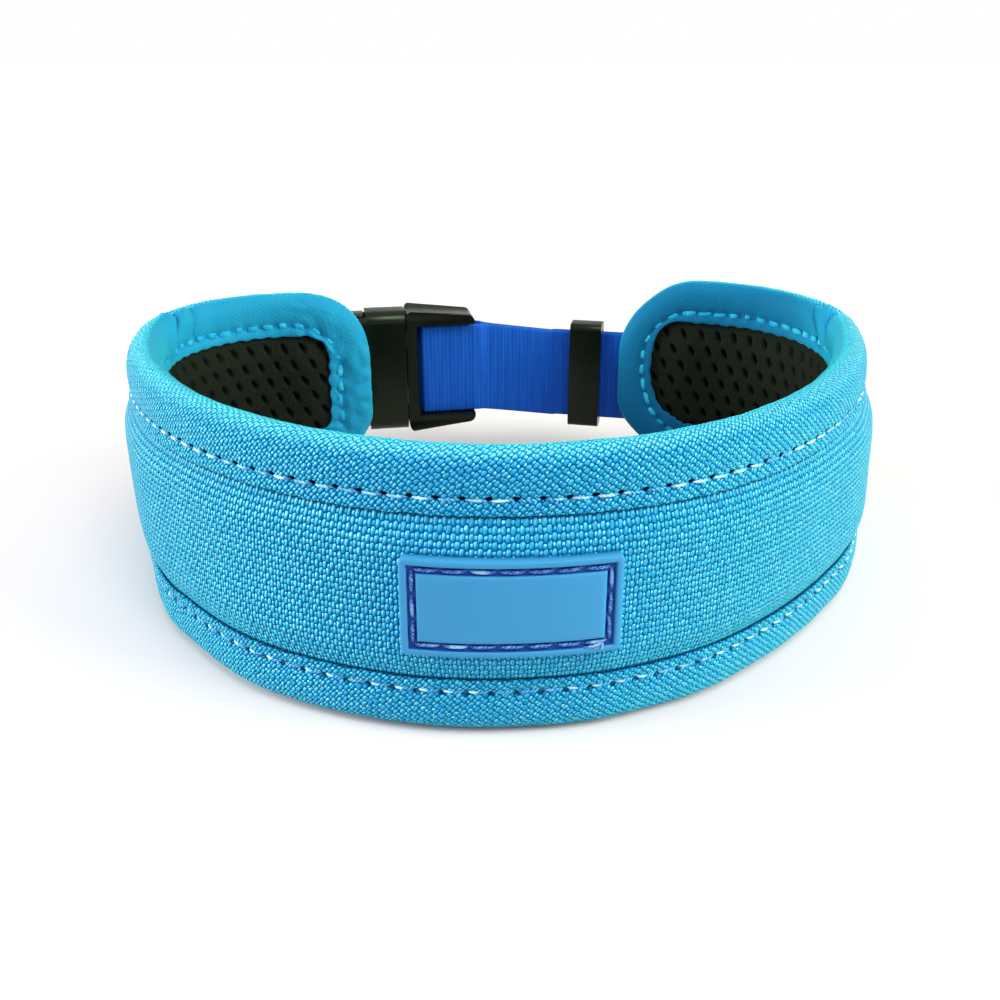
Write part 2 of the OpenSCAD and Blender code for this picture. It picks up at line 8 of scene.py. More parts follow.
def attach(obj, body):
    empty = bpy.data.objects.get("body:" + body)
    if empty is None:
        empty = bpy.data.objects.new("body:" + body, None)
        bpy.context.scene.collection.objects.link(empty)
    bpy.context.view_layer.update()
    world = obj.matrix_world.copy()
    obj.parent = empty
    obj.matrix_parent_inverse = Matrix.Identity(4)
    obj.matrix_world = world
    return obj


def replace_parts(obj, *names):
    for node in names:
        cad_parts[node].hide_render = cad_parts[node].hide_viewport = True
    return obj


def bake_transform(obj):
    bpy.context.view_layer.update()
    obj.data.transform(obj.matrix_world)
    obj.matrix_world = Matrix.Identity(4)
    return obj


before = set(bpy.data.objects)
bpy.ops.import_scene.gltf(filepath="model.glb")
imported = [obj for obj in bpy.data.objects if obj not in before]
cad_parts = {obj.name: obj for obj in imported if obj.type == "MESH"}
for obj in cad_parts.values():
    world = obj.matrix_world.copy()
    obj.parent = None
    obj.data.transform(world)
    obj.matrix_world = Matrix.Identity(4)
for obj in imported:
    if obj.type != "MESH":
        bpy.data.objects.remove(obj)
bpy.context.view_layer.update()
print("frame loaded:", len(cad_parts), "nodes")

mm = 0.001

# the band's middle surface: tangent arcs from the front middle, radius in mm and turn in degrees
band = {
    "height": 50.0,
    "endRadius": 19.0,
    "right": [(70, 43), (92, 40.5), (31.5, 82.5), (90, 2)],
    "left": [(70, 22), (81, 60), (29, 87), (90, 1)],
    "sideLean": 3.7,
    "leanPeak": 70.0,
    "rightLift": 1.2,
    "centre": (0.0603, 60.0688),  # middle of the box, seen from the front middle
    "seat": 2.56,  # from the middle surface to either face, beside the binding
    "rimFall": 1.4,
    "rimFrom": (5.0, 2.5),
    "crownOut": 2.0,
    "crownIn": 1.7,
    "crownAt": 17.0,
    "swellFrom": 8.0,  # from here the crown lifts the binding's inside too
    "bindOut": 10.3,
    "bindIn": 10.0,
    "stitchPitch": 3.9,
    "seamOut": 8.0,  # the topstitch's distance from the rim, outside and inside
    "seamIn": 7.4,
    "seamWander": 0.3,
    # the soft foot settles outwards or inwards on the table: place along the band and shift
    "foot": [(-190, 0), (-138, 0), (-114, -2.5), (-92, -2.9), (-66, -0.2), (-40, 1.6), (-14, 1.3), (12, 0.5),
             (30, -0.5), (52, -2.0), (72, -1.9), (90, -0.8), (108, 0), (200, 0)],
    # and the padded sides below the rim are fuller than their middle line
    "side": [(-190, 0), (-135, 0), (-105, 0.9), (-80, 0.5), (-60, 0), (60, 0), (88, 0.9), (112, 1.2),
             (135, 0.4), (150, 0), (200, 0)],
    "footPower": 1.5,
    "sideBelow": (19, 5),
}
halfHeight = band["height"] / 2
sideHalf = halfHeight - band["endRadius"]
runRight = sum(r * math.radians(deg) for r, deg in band["right"])
runLeft = sum(r * math.radians(deg) for r, deg in band["left"])
tipRight = runRight + band["endRadius"]
tipLeft = runLeft + band["endRadius"]
plateau = band["seat"] + band["crownOut"]
seamOut = band["seamOut"]
seamIn = band["seamIn"]


def clamp(x, low=0.0, high=1.0):
    return min(max(x, low), high)


def smoothStep(a, b, x):
    k = clamp((x - a) / (b - a))
    return k * k * (3 - 2 * k)


# a value between listed places, with soft turns
def between(stops, x):
    for (x0, y0), (x1, y1) in zip(stops, stops[1:]):
        if x <= x1:
            return y0 + (y1 - y0) * smoothStep(x0, x1, x)
    return stops[-1][1]


def spaced(a, b, n):
    return [a + (b - a) * i / n for i in range(n + 1)]


def walkBand(s):
    x = y = turned = 0.0
    left = abs(s)
    for radius, deg in band["right" if s >= 0 else "left"]:
        step = min(left, math.radians(deg) * radius)
        end = turned + step / radius
        x += radius * (math.sin(end) - math.sin(turned))
        y += radius * (math.cos(turned) - math.cos(end))
        turned = end
        left -= step
    side = 1 if s >= 0 else -1
    x += left * math.cos(turned)
    y += left * math.sin(turned)
    return side * x, y, side * math.sin(turned), -math.cos(turned), math.degrees(turned)


# s runs along the band, w up from its middle, o outwards, all in mm
def bandPoint(s, w, o):
    x, y, outX, outY, turned = walkBand(s)
    lean = 0.0
    if turned < 2 * band["leanPeak"]:
        lean = band["sideLean"] * math.sin(math.radians(turned * 90 / band["leanPeak"])) ** 2
    lift = 0.0
    if s > tipRight / 2:
        lift = band["rightLift"] * math.sin(math.pi / 2 * (s / tipRight * 2 - 1)) ** 2
    low = clamp(0.5 - w / band["height"])
    k = o - w * math.tan(math.radians(lean)) + between(band["foot"], s) * low ** band["footPower"]
    k += between(band["side"], s) * smoothStep(*band["sideBelow"], w)
    cx, cy = band["centre"]
    return Vector((x + k * outX - cx, y + k * outY - cy, halfHeight + w + lift)) * mm


def edgeDistance(s, w):
    pastEnd = max(s - runRight, -runLeft - s, 0.0)
    pastSide = max(abs(w) - sideHalf, 0.0)
    return band["endRadius"] - math.hypot(pastEnd, pastSide)


# the closed line round the band at a distance in from its edge; t is measured on the topstitch
cornerLength = math.pi / 2 * (band["endRadius"] - seamOut)
tipLength = 2 * sideHalf
runLength = runLeft + runRight
edgeLength = 2 * runLength + 4 * cornerLength + 2 * tipLength
stitchCount = round(edgeLength / band["stitchPitch"])
stitchPitch = edgeLength / stitchCount
edgeStraights = (runLength, tipLength, runLength, tipLength)
edgeCorners = [(runRight, sideHalf), (runRight, -sideHalf), (-runLeft, -sideHalf), (-runLeft, sideHalf)]


# four straight stretches, each with a corner after it, clockwise from the upper left
def edgePoint(t, d):
    t = t % edgeLength
    r = band["endRadius"] - d
    for side, straight in enumerate(edgeStraights):
        a = math.pi / 2 * (1 - side)
        if t < straight:
            s, w = edgeCorners[side - 1]
            return s + r * math.cos(a) + t * math.sin(a), w + r * math.sin(a) - t * math.cos(a)
        t -= straight
        if t < cornerLength or side == 3:
            break
        t -= cornerLength
    a -= math.pi / 2 * t / cornerLength
    s, w = edgeCorners[side]
    return s + r * math.cos(a), w + r * math.sin(a)


# inside, the seam runs nearer the rim at the right tip and cuts the lower corners
rightMiddle = runLength + cornerLength + tipLength / 2
rightLow = runLength + 2 * cornerLength + tipLength
leftLow = rightLow + runLength
innerSeam = [(0, seamIn), (runLength, seamIn), (rightMiddle - 2, 6.2), (rightLow - 7, 10.2),
             (rightLow + 5, 10.0), (rightLow + 26, 7.6), (leftLow - 14, 7.6), (leftLow + 7, 11.0),
             (leftLow + 17, 7.8), (edgeLength, seamIn)]


# the topstitch wanders a little from the upper run to the lower one
def seamDepth(t, inside):
    if inside:
        return between(innerSeam, t % edgeLength)
    return seamOut - band["seamWander"] * edgePoint(t, seamOut)[1] / (halfHeight - seamOut)


def hexColour(text):
    parts = [int(text[i:i + 2], 16) / 255 for i in (1, 3, 5)]
    return tuple(c / 12.92 if c <= 0.04045 else ((c + 0.055) / 1.055) ** 2.4 for c in parts) + (1.0,)


# empties a node tree and gives the function that adds a node to it, with its settings and links; a link comes
# from a node's first output or a socket, or is a value
def nodeAdder(tree):
    tree.nodes.clear()

    def add(kind, links=(), **settings):
        node = tree.nodes.new("ShaderNode" + kind)
        for key, value in settings.items():
            setattr(node, key, value)
        named = links if isinstance(links, dict) else dict(enumerate(links))
        for key, value in named.items():
            if isinstance(value, bpy.types.Node):
                value = value.outputs[0]
            if isinstance(value, bpy.types.NodeSocket):
                tree.links.new(value, node.inputs[key])
            else:
                node.inputs[key].default_value = value
        return node

    return add


def newMaterial(name):
    material = bpy.data.materials.new(name)
    material.use_nodes = True
    return material, nodeAdder(material.node_tree)


def setRamp(node, stops):
    ramp = node.color_ramp
    while len(ramp.elements) < len(stops):
        ramp.elements.new(0.5)
    for element, (place, colour) in zip(ramp.elements, stops):
        element.position = place
        element.color = hexColour(colour)


# floats of one cell of plain weave: long warp floats and, in the gaps between them, short weft floats
weaveFloats = [("warp", (0, 0)), ("warp", (0.5, 0.5)), ("weft", (0.5, 0)), ("weft", (0, 0.5))]


# woven nylon: thick soft yarns, so small bright grains with thin dark slits and a fibre's fine streaks
def wovenNylon(name, look):
    material, add = newMaterial(name)
    uv = add("UVMap", uv_map="cloth")
    wander = add("TexNoise", {"Vector": uv, "Scale": 0.9, "Detail": 3.0}, noise_dimensions="2D")
    wanderOff = add("VectorMath", [
        wander.outputs["Color"], (look["wander"],) * 3, (-look["wander"] / 2,) * 3], operation="MULTIPLY_ADD")
    turned = add("Mapping", {"Vector": uv, "Rotation": (0, 0, math.radians(look["angle"]))})
    placed = add("VectorMath", [turned, wanderOff], operation="ADD")
    fibre = add("Mapping", {"Vector": placed, "Scale": (5.0, 0.9, 1)})
    fibres = add("TexNoise", {"Vector": fibre, "Scale": 1.0, "Detail": 2.0}, noise_dimensions="2D")
    cells = add("VectorMath", [placed, (1 / look["across"], 1 / look["along"], 0)], operation="MULTIPLY")
    facing = add("Attribute", attribute_name="upward")
    near = second = tone = luck = None
    # the nearest float shows
    for index, (kind, shift) in enumerate(weaveFloats):
        part = look[kind]
        moved = add("VectorMath", [cells, (*shift, index)], operation="ADD")
        cell = add("VectorMath", [moved], operation="FLOOR")
        chance = add("TexWhiteNoise", {"Vector": cell}, noise_dimensions="3D")
        inCell = add("VectorMath", [moved, cell], operation="SUBTRACT")
        middle = add("VectorMath", [inCell, (0.5, 0.5, 0)], operation="SUBTRACT")
        upright = add("VectorMath", [middle, (look["across"], look["along"], 0)], operation="MULTIPLY")
        uneven = (look["uneven"], look["uneven"], 0)
        nudged = add("VectorMath", [chance.outputs["Color"], uneven, upright], operation="MULTIPLY_ADD")
        leaning = add("Mapping", {"Vector": nudged, "Rotation": (0, 0, math.radians(look["lean"]))})
        oval = add("VectorMath", [leaning, (*part["half"], 1)], operation="DIVIDE")
        away = add("VectorMath", [oval], operation="LENGTH").outputs["Value"]
        # painted highlight: the flank of each float that faces up is made paler, as if lit from above
        highlightFlank = add("VectorMath", [oval, part["highlightFlank"]], operation="DOT_PRODUCT")
        lit = add("Math", [
            highlightFlank.outputs["Value"], facing.outputs["Fac"], part["tone"]], operation="MULTIPLY_ADD")
        if index == 0:
            near, tone, luck = away, lit, chance
            continue
        nearer = add("Math", [away, near], operation="LESS_THAN")
        tone = add("Mix", {"Factor": nearer, "A": tone, "B": lit})
        luck = add("Mix", {"Factor": nearer, "A": luck, "B": chance})
        farther = add("Math", [away, near], operation="MAXIMUM")
        if second:
            farther = add("Math", [farther, second], operation="MINIMUM")
        second = farther
        near = add("Math", [away, near], operation="MINIMUM")
    apart = add("Math", [second, near], operation="SUBTRACT")
    slit = add("MapRange", {
        "Value": apart, "From Max": look["slit"], "To Min": 0.05}, interpolation_type="SMOOTHSTEP")
    pit = add("MapRange", {
        "Value": near, "From Min": 1.5, "From Max": 0.9, "To Min": 0.1}, interpolation_type="SMOOTHSTEP")
    bare = add("Math", [slit, pit], operation="MULTIPLY")
    varied = add("MapRange", {"Value": luck, "To Min": 0.86, "To Max": 1.1})
    toned = add("Math", [tone, varied], operation="MULTIPLY")
    opened = add("Math", [toned, bare], operation="MULTIPLY")
    streak = add("MapRange", {
        "Value": fibres, "From Min": 0.3, "From Max": 0.7, "To Min": 0.78, "To Max": 1.2})
    streaked = add("Math", [opened, streak], operation="MULTIPLY")
    square = add("Math", [near, 2.0], operation="POWER")
    under = add("Math", [1.4, square], operation="SUBTRACT")
    above = add("Math", [under, 0.0], operation="MAXIMUM")
    height = add("Math", [above, 0.6], operation="POWER")
    # rubbed cloth is flatter and more even
    worn = add("Attribute", attribute_name="worn")
    lost = add("Math", [look["wornTone"], streaked], operation="SUBTRACT")
    rubbed = add("Math", [lost, worn.outputs["Fac"], streaked], operation="MULTIPLY_ADD")
    # painted highlight: paler along the top of the upper rim, where light from above falls
    rimHighlight = add("Attribute", attribute_name="rimHighlight")
    level = add("Math", [rimHighlight.outputs["Fac"], look["rimHighlightTone"], rubbed], operation="MULTIPLY_ADD")
    ramp = add("ValToRGB", {"Fac": level})
    setRamp(ramp, look["colours"])
    dull = add("Math", [worn.outputs["Fac"], 0.85], operation="MULTIPLY")
    colour = add("MixRGB", {"Fac": dull, "Color1": ramp, "Color2": hexColour(look["wornColour"])})
    # needle holes, painted dark as the shade in them, and the painted shade of the shade mark
    uvParts = add("SeparateXYZ", [uv])
    pitches = add("Math", [uvParts.outputs["X"], stitchPitch], operation="DIVIDE")
    nearest = add("Math", [pitches, 0.5], operation="PINGPONG")
    edge = add("Attribute", attribute_name="shade")
    dim = edge.outputs["Fac"]
    for place, wide, high, holeShadeColour in look["holes"]:
        along = add("Math", [nearest, stitchPitch / wide], operation="MULTIPLY")
        across = add("Math", [uvParts.outputs["Y"], place], operation="SUBTRACT")
        acrossSize = add("Math", [across, high], operation="DIVIDE")
        spot = add("CombineXYZ", {"X": along, "Y": acrossSize})
        spotAway = add("VectorMath", [spot], operation="LENGTH").outputs["Value"]
        hole = add("MapRange", {
            "Value": spotAway, "From Min": 1.25, "From Max": 0.6}, interpolation_type="SMOOTHSTEP")
        shown = add("MapRange", {"Value": facing.outputs["Fac"], "From Min": -1.0, "To Min": 0.75})
        hole = add("Math", [hole, shown], operation="MULTIPLY")
        colour = add("MixRGB", {"Fac": hole, "Color1": colour, "Color2": hexColour(holeShadeColour)})
        dim = add("Math", [dim, hole], operation="MAXIMUM")
    # painted shade: the shade mark darkens the tape's edges, its creases, the cloth beside the binding and
    # the right end's inner face
    shaded = add("MixRGB", {
        "Fac": edge.outputs["Fac"], "Color1": colour, "Color2": hexColour(look["paintedShadeColour"])})
    shine = add("MapRange", {"Value": level, "From Min": 0.4, "To Min": 0.03, "To Max": look["gloss"]})
    clear = add("Math", [1.0, dim], operation="SUBTRACT")
    gloss = add("Math", [shine, clear], operation="MULTIPLY")
    fluff = add("Math", [bare, look["sheen"]], operation="MULTIPLY")
    sheen = add("Math", [clear, fluff], operation="MULTIPLY")
    flat = add("MapRange", {"Value": worn.outputs["Fac"], "To Min": 1.0, "To Max": 0.12})
    bump = add("Bump", {"Height": height, "Strength": flat, "Distance": look["relief"] * mm})
    shader = add("BsdfPrincipled", {
        "Base Color": shaded, "Roughness": look["roughness"], "Normal": bump, "Sheen Weight": sheen,
        "Sheen Roughness": 0.4, "Sheen Tint": hexColour(look["sheenTint"]), "Specular IOR Level": gloss})
    add("OutputMaterial", {"Surface": shader})
    return material


# the folded tape's section: places in from the rim and outwards, from its outer edge round to its inner edge
bindingShape = {
    "face": [(10.26, 2.62), (10.34, 2.92), (10.3, 3.2), (10.08, 3.36), (9.3, 3.4), (8.0, 3.4), (6.7, 3.42),
             (5.4, 3.46), (4.0, 3.44), (2.7, 3.26), (1.5, 2.76), (0.62, 1.95), (0.14, 0.98), (0.0, 0.0),
             (0.14, -0.98), (0.62, -1.95), (1.5, -2.8), (2.7, -3.34), (4.0, -3.54), (5.4, -3.56),
             (6.7, -3.52), (7.6, -3.52), (8.6, -3.54), (9.5, -3.54), (9.92, -3.36), (10.04, -3.0),
             (10.0, -2.62)],
    "back": [(6.8, -2.6), (3.4, -2.5), (1.3, -1.3), (0.9, 0.0), (1.3, 1.3), (3.4, 2.5), (6.8, 2.6)],
    "around": 66,
    "backAround": 10,
    "step": 0.66,
    # how far the seam draws the tape in and how widely, outside and inside, and each stitch at its holes
    "dip": (0.35, 0.4),
    "dipWidth": (0.75, 1.0),
    "pull": (0.22, 0.2),
    # lumps of the two faces, of the outer edge and of the crumpled left end: size, height and a seed
    "lumps": ([(9, 0.12, 6.2), (2.6, 0.09, 4.4)], [(9, 0.12, 1.7), (2.6, 0.09, 4.4)]),
    "ragged": (1.5, 0.2, 2.9),
    "crumples": [(4.5, 1.3, 8.8), (2.2, 0.5, 5.1)],
    "crumpleSink": 0.4,
    "scallop": 0.14,  # each stitch also draws the inner edge in
    "edgeShade": (0.95, 0.9, 0.75, 0.45, 0.15),  # from the tape's edges inwards
    # folds where the tape is crowded inside the back bends: place at the rim, drift to the seam, width, depth
    "folds": [(-125.6, 6.4, 1.1, 2.8), (-132.0, 2.5, 1.3, 0.9), (-137.5, 1.5, 1.6, 0.5),
              (131.5, -7.0, 1.7, 3.0), (123.5, -5.5, 1.2, 1.4), (139.0, -3.0, 1.6, 0.3)],
    "foldPower": 1.3,
    # and the soft lobes beside them
    "lobes": [(-121.8, 5.6, 2.4, 1.0), (127.9, -6.4, 1.8, 1.0)],
    # the upper left corner is fuller and the others are worn round, in the order of the closed line
    "corners": (-0.7, -2.2, -2.8, 1.4),
    "cutShort": 0.55,  # the inner edge is cut short at the upper two
    "foldShade": 0.9,
    "endShade": 0.52,  # the right end's inner face lies away from the light
    "wornShare": 0.9,
    "topFacing": 1.6,
    # where each effect sets in and where it is full: d in from the rim, o outwards, s along the band
    "fades": {
        "raggedD": (7.6, 9.0), "scallopD": (9.4, 10.0), "cornerD": (8.0, 2.0), "foldD": (9.4, 7.0),
        "foldO": (1.2, -0.8), "foldDepth": (0.4, 1.7), "crumpleS": (-runLeft + 4, -runLeft - 6),
        "crumpleO": (0.5, -1.5), "endS": (120, 146), "endO": (0.0, -2.0), "wornO": (1.0, -2.0),
        "crestD": (2.0, 0.2), "crestO": (-1.5, 0.5),
    },
}


# smooth line through a few points, as many as asked for
def smoothLine(points, count):
    made = []
    for i in range(count):
        u = i * (len(points) - 1) / (count - 1)
        k = min(int(u), len(points) - 2)
        f = u - k
        p0, p1, p2, p3 = (Vector(points[min(max(k + j, 0), len(points) - 1)]) for j in (-1, 0, 1, 2))
        made.append(0.5 * (2 * p1 + (p2 - p0) * f + (2 * p0 - 5 * p1 + 4 * p2 - p3) * f * f
                           + (3 * p1 - p0 - 3 * p2 + p3) * f ** 3))
    return made


tapeRing = (smoothLine(bindingShape["face"], bindingShape["around"])
            + smoothLine(bindingShape["back"], bindingShape["backAround"]))
tapeReach = [0.0]
for here, after in zip(tapeRing, tapeRing[1:] + tapeRing[:1]):
    tapeReach.append(tapeReach[-1] + (after - here).length)
tapeOut = []
for here, after in zip(tapeRing[-1:] + tapeRing[:-1], tapeRing[1:] + tapeRing[:1]):
    tapeOut.append(Vector((after.y - here.y, here.x - after.x)).normalized())


# how far across the tape its face passes a distance from the rim
def tapePlace(d, inside):
    face = zip(tapeRing[:bindingShape["around"]], tapeReach)
    return min((abs(p.x - d), reach) for p, reach in face if (p.y < 0) == inside)[1]


panelLook = {
    "across": 1.33,  # mm from float to float
    "along": 2.3,
    # half width and half length of a float in mm, the flank on which a highlight is painted, and its tone;
    # the weft floats get a lighter tone, painted light on their upper side
    "warp": {"half": (0.36, 0.66), "highlightFlank": (-0.3, 0.18, 0), "tone": 0.52},
    "weft": {"half": (0.26, 0.4), "highlightFlank": (-0.12, 0.24, 0), "tone": 0.66},
    "uneven": 0.22,
    "slit": 0.7,
    "lean": 10,
    "angle": 0,
    "wander": 0.24,
    "relief": 0.36,
    "roughness": 0.38,
    "gloss": 0.5,
    "sheen": 0.8,
    "sheenTint": "#50F6E0",
    "wornTone": 0.36,
    "wornColour": "#2289B0",
    # how much paler the painted highlight makes the top of the rim
    "rimHighlightTone": 0.24,
    # the colour of the painted shade
    "paintedShadeColour": "#06346F",
    "holes": [],  # place across the tape, half width, half height and the colour of the shade painted in the needle holes
    "colours": [(0.0, "#004A8A"), (0.3, "#1084C6"), (0.58, "#2EAAEA"), (1.0, "#92F2FC")],
}
bindingLook = dict(panelLook, angle=40, lean=0, across=1.26, along=1.9, holes=[
    (tapePlace(seamOut, False), 0.66, 0.46, "#020A30"), (tapePlace(seamIn, True), 0.5, 0.4, "#1B7DBE")])
bindingLook["warp"] = {"half": (0.36, 0.56), "highlightFlank": (-0.34, 0.1, 0), "tone": 0.48}
panelCloth = wovenNylon("wovenNylonPanel", panelLook)
bindingCloth = wovenNylon("biasNylonTape", bindingLook)


# spacer mesh: a dark knit with open ovals, so matte, with its pits painted black as the shade in them
def spacerMesh(name, look):
    material, add = newMaterial(name)
    uv = add("UVMap", uv_map="cloth")
    knit = add("TexVoronoi", {
        "Vector": uv, "Scale": 1 / look["knit"], "Randomness": 0.55}, voronoi_dimensions="2D")
    hole = add("Attribute", attribute_name="hole")
    yarn = add("ValToRGB", {"Fac": knit})
    setRamp(yarn, look["colours"])
    # painted shade in the open ovals
    tone = add("MixRGB", {
        "Fac": hole.outputs["Fac"], "Color1": yarn, "Color2": hexColour(look["holeShadeColour"])})
    bump = add("Bump", {"Height": knit, "Strength": 0.8, "Distance": look["relief"] * mm}, invert=True)
    shader = add("BsdfPrincipled", {
        "Base Color": tone, "Roughness": 0.85, "Normal": bump, "Specular IOR Level": 0.12})
    add("OutputMaterial", {"Surface": shader})
    return material


liningCloth = spacerMesh("spacerMeshKnit", {
    "knit": 0.55, "relief": 0.2, "colours": [(0.0, "#1A2017"), (0.7, "#0D120C")], "holeShadeColour": "#060A05"})


# spun polyester thread: two twisted plies, so slanting bands, and a pale painted highlight where a stitch
# stands up into the light
def twistedThread(name, look):
    material, add = newMaterial(name)
    uv = add("UVMap", uv_map="cloth")
    plies = add("TexWave", {
        "Vector": uv, "Scale": 0.9, "Distortion": look["fray"], "Detail": 2.0,
        "Detail Scale": 2.0}, bands_direction="DIAGONAL")
    ramp = add("ValToRGB", {"Fac": plies.outputs["Fac"]})
    setRamp(ramp, look["colours"])
    place = add("TexCoord")
    # painted highlight: pale on stitches picked by noise, on the part of each stitch that stands up
    chance = add("TexNoise", {"Vector": place.outputs["Object"], "Scale": 0.13 / mm, "Detail": 2.0})
    lucky = add("MapRange", {
        "Value": chance, "From Min": look["highlightFrom"], "From Max": look["highlightFrom"] + 0.15})
    uvParts = add("SeparateXYZ", [uv])
    standing = add("MapRange", {
        "Value": uvParts.outputs["X"], "From Min": 1.2, "From Max": 0.2}, interpolation_type="SMOOTHSTEP")
    paintedHighlight = add("Math", [lucky, standing], operation="MULTIPLY")
    tone = add("MixRGB", {"Fac": paintedHighlight, "Color1": ramp, "Color2": hexColour(look["paintedHighlight"])})
    bump = add("Bump", {"Height": plies.outputs["Fac"], "Strength": 0.8, "Distance": 0.1 * mm})
    shader = add("BsdfPrincipled", {
        "Base Color": tone, "Roughness": 0.45, "Normal": bump, "Specular IOR Level": look["gloss"]})
    add("OutputMaterial", {"Surface": shader})
    return material


needleThread = twistedThread("polyesterThreadPale", {
    "colours": [(0.0, "#0C52A6"), (0.5, "#2A8CD2"), (1.0, "#6CC2F0")],
    "paintedHighlight": "#C2E9FA", "highlightFrom": 0.4, "fray": 2.5, "gloss": 0.35})
bobbinThread = twistedThread("polyesterThreadCyan", {
    "colours": [(0.0, "#128FC6"), (0.5, "#1A9FD4"), (1.0, "#2AB2E2")],
    "paintedHighlight": "#42C2EC", "highlightFrom": 0.48, "fray": 5.0, "gloss": 0.1})
badgeThread = twistedThread("polyesterThreadBlue", {
    "colours": [(0.0, "#0A2478"), (0.5, "#1B50B4"), (1.0, "#66A0E6")],
    "paintedHighlight": "#8FC0F4", "highlightFrom": 0.56, "fray": 11.0, "gloss": 0.35})
seamThread = twistedThread("polyesterThreadRoyal", {
    "colours": [(0.0, "#123488"), (0.5, "#2459BC"), (1.0, "#4F86DE")],
    "paintedHighlight": "#6E9CE8", "highlightFrom": 0.5, "fray": 1.5, "gloss": 0.35})


# polyester webbing: fine uneven cross ribs, so a satin face with thin upright lines
def ribbedWebbing(name, look):
    material, add = newMaterial(name)
    uv = add("UVMap", uv_map="cloth")
    ribs = add("TexWave", {
        "Vector": uv, "Scale": look["ribScale"], "Distortion": 0.5, "Detail": 1.0,
        "Detail Scale": 0.6}, bands_direction="X")
    streak = add("Mapping", {"Vector": uv, "Scale": (0.9, 0.05, 1)})
    streaks = add("TexNoise", {"Vector": streak, "Scale": 1.0, "Detail": 3.0}, noise_dimensions="2D")
    both = add("Math", [ribs.outputs["Fac"], 0.25, streaks], operation="MULTIPLY_ADD")
    ramp = add("ValToRGB", {"Fac": both})
    setRamp(ramp, look["colours"])
    bump = add("Bump", {"Height": ribs.outputs["Fac"], "Strength": 0.5, "Distance": 0.08 * mm})
    shader = add("BsdfPrincipled", {
        "Base Color": ramp, "Roughness": 0.5, "Normal": bump, "Specular IOR Level": 0.15})
    add("OutputMaterial", {"Surface": shader})
    return material


webbingCloth = ribbedWebbing("polyesterWebbing", {
    "ribScale": 0.31,  # a wave turns 20 times its scale in radians, so one rib to about 1 mm
    "colours": [(0.2, "#0C45A6"), (0.6, "#1052BA"), (1.0, "#175DC8")]})


# soft moulded rubber: satin, with painted shade making it deeper in its sunk channel
def mouldedRubber(name, look):
    material, add = newMaterial(name)
    place = add("TexCoord")
    grain = add("TexNoise", {"Vector": place.outputs["Object"], "Scale": look["grain"] / mm, "Detail": 2.0})
    depth = add("Attribute", attribute_name="sunk")
    tone = add("MixRGB", {
        "Fac": depth.outputs["Fac"], "Color1": hexColour(look["face"]), "Color2": hexColour(look["sunk"])})
    bump = add("Bump", {"Height": grain, "Strength": 0.35, "Distance": 0.03 * mm})
    shader = add("BsdfPrincipled", {
        "Base Color": tone, "Roughness": 0.5, "Normal": bump, "Specular IOR Level": 0.2})
    add("OutputMaterial", {"Surface": shader})
    return material


badgeRubber = mouldedRubber("softRubberBlue", {
    "grain": 3.5,  # grains to a mm
    # the face colour and the painted shade of the channel
    "face": "#3888C0", "sunk": "#123F98"})


# acetal: black, moulded with a fine spark-eroded grain, so only a soft grey gloss on its round edges
def mouldedAcetal(name, look):
    material, add = newMaterial(name)
    place = add("TexCoord")
    grain = add("TexNoise", {"Vector": place.outputs["Object"], "Scale": look["grain"] / mm, "Detail": 3.0})
    wear = add("TexNoise", {"Vector": place.outputs["Object"], "Scale": look["wear"] / mm, "Detail": 4.0})
    rough = add("MapRange", {"Value": wear, "To Min": 0.22, "To Max": 0.34})
    tone = add("ValToRGB", {"Fac": wear})
    setRamp(tone, look["colours"])
    bump = add("Bump", {"Height": grain, "Strength": 0.3, "Distance": 0.03 * mm})
    shader = add("BsdfPrincipled", {
        "Base Color": tone, "Roughness": rough, "Normal": bump,
        "Specular IOR Level": 0.44, "Specular Tint": hexColour("#DCF0C8")})
    add("OutputMaterial", {"Surface": shader})
    return material


buckleAcetal = mouldedAcetal("blackAcetal", {
    "grain": 2.6,  # grains to a mm
    "wear": 0.12,  # rubbed patches to a mm
    "colours": [(0.3, "#030702"), (0.7, "#060B05")]})


# nickel-plated steel wire: bright, with faint drawing marks
def platedSteel(name):
    material, add = newMaterial(name)
    place = add("TexCoord")
    marks = add("TexNoise", {
        "Vector": place.outputs["Object"], "Scale": 0.9 / mm, "Detail": 3.0})  # marks about 1 mm apart
    rough = add("MapRange", {"Value": marks, "To Min": 0.14, "To Max": 0.3})
    bump = add("Bump", {"Height": marks, "Strength": 0.15, "Distance": 0.02 * mm})
    shader = add("BsdfPrincipled", {
        "Base Color": hexColour("#C9CBCC"), "Metallic": 1.0, "Roughness": rough, "Normal": bump})
    add("OutputMaterial", {"Surface": shader})
    return material


ringSteel = platedSteel("nickelPlatedSteel")


# polyether foam: pale, open-celled
def cutFoam(name):
    material, add = newMaterial(name)
    place = add("TexCoord")
    cells = add("TexVoronoi", {
        "Vector": place.outputs["Object"], "Scale": 0.9 / mm})  # cells of about 1 mm
    ramp = add("ValToRGB", {"Fac": cells})
    setRamp(ramp, [(0.0, "#B9B4A4"), (0.6, "#E9E5D8")])
    bump = add("Bump", {"Height": cells, "Strength": 0.6, "Distance": 0.3 * mm})
    shader = add("BsdfPrincipled", {"Base Color": ramp, "Roughness": 0.9, "Normal": bump})
    add("OutputMaterial", {"Surface": shader})
    return material


foamStuff = cutFoam("polyetherFoam")
print("materials made:", len(bpy.data.materials))


def toObject(name, bm, material):
    mesh = bpy.data.meshes.new(name)
    bm.to_mesh(mesh)
    bm.free()
    mesh.materials.append(material)
    mesh.shade_smooth()
    piece = bpy.data.objects.new(name, mesh)
    bpy.context.scene.collection.objects.link(piece)
    return piece


# the finished piece stands for a CAD node and moves with a body
def finishPiece(name, bm, material, body, node):
    piece = toObject(name, bm, material)
    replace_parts(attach(piece, body), node)
    return piece


def newBmesh():
    bm = bmesh.new()
    bm.loops.layers.uv.new("cloth")
    return bm


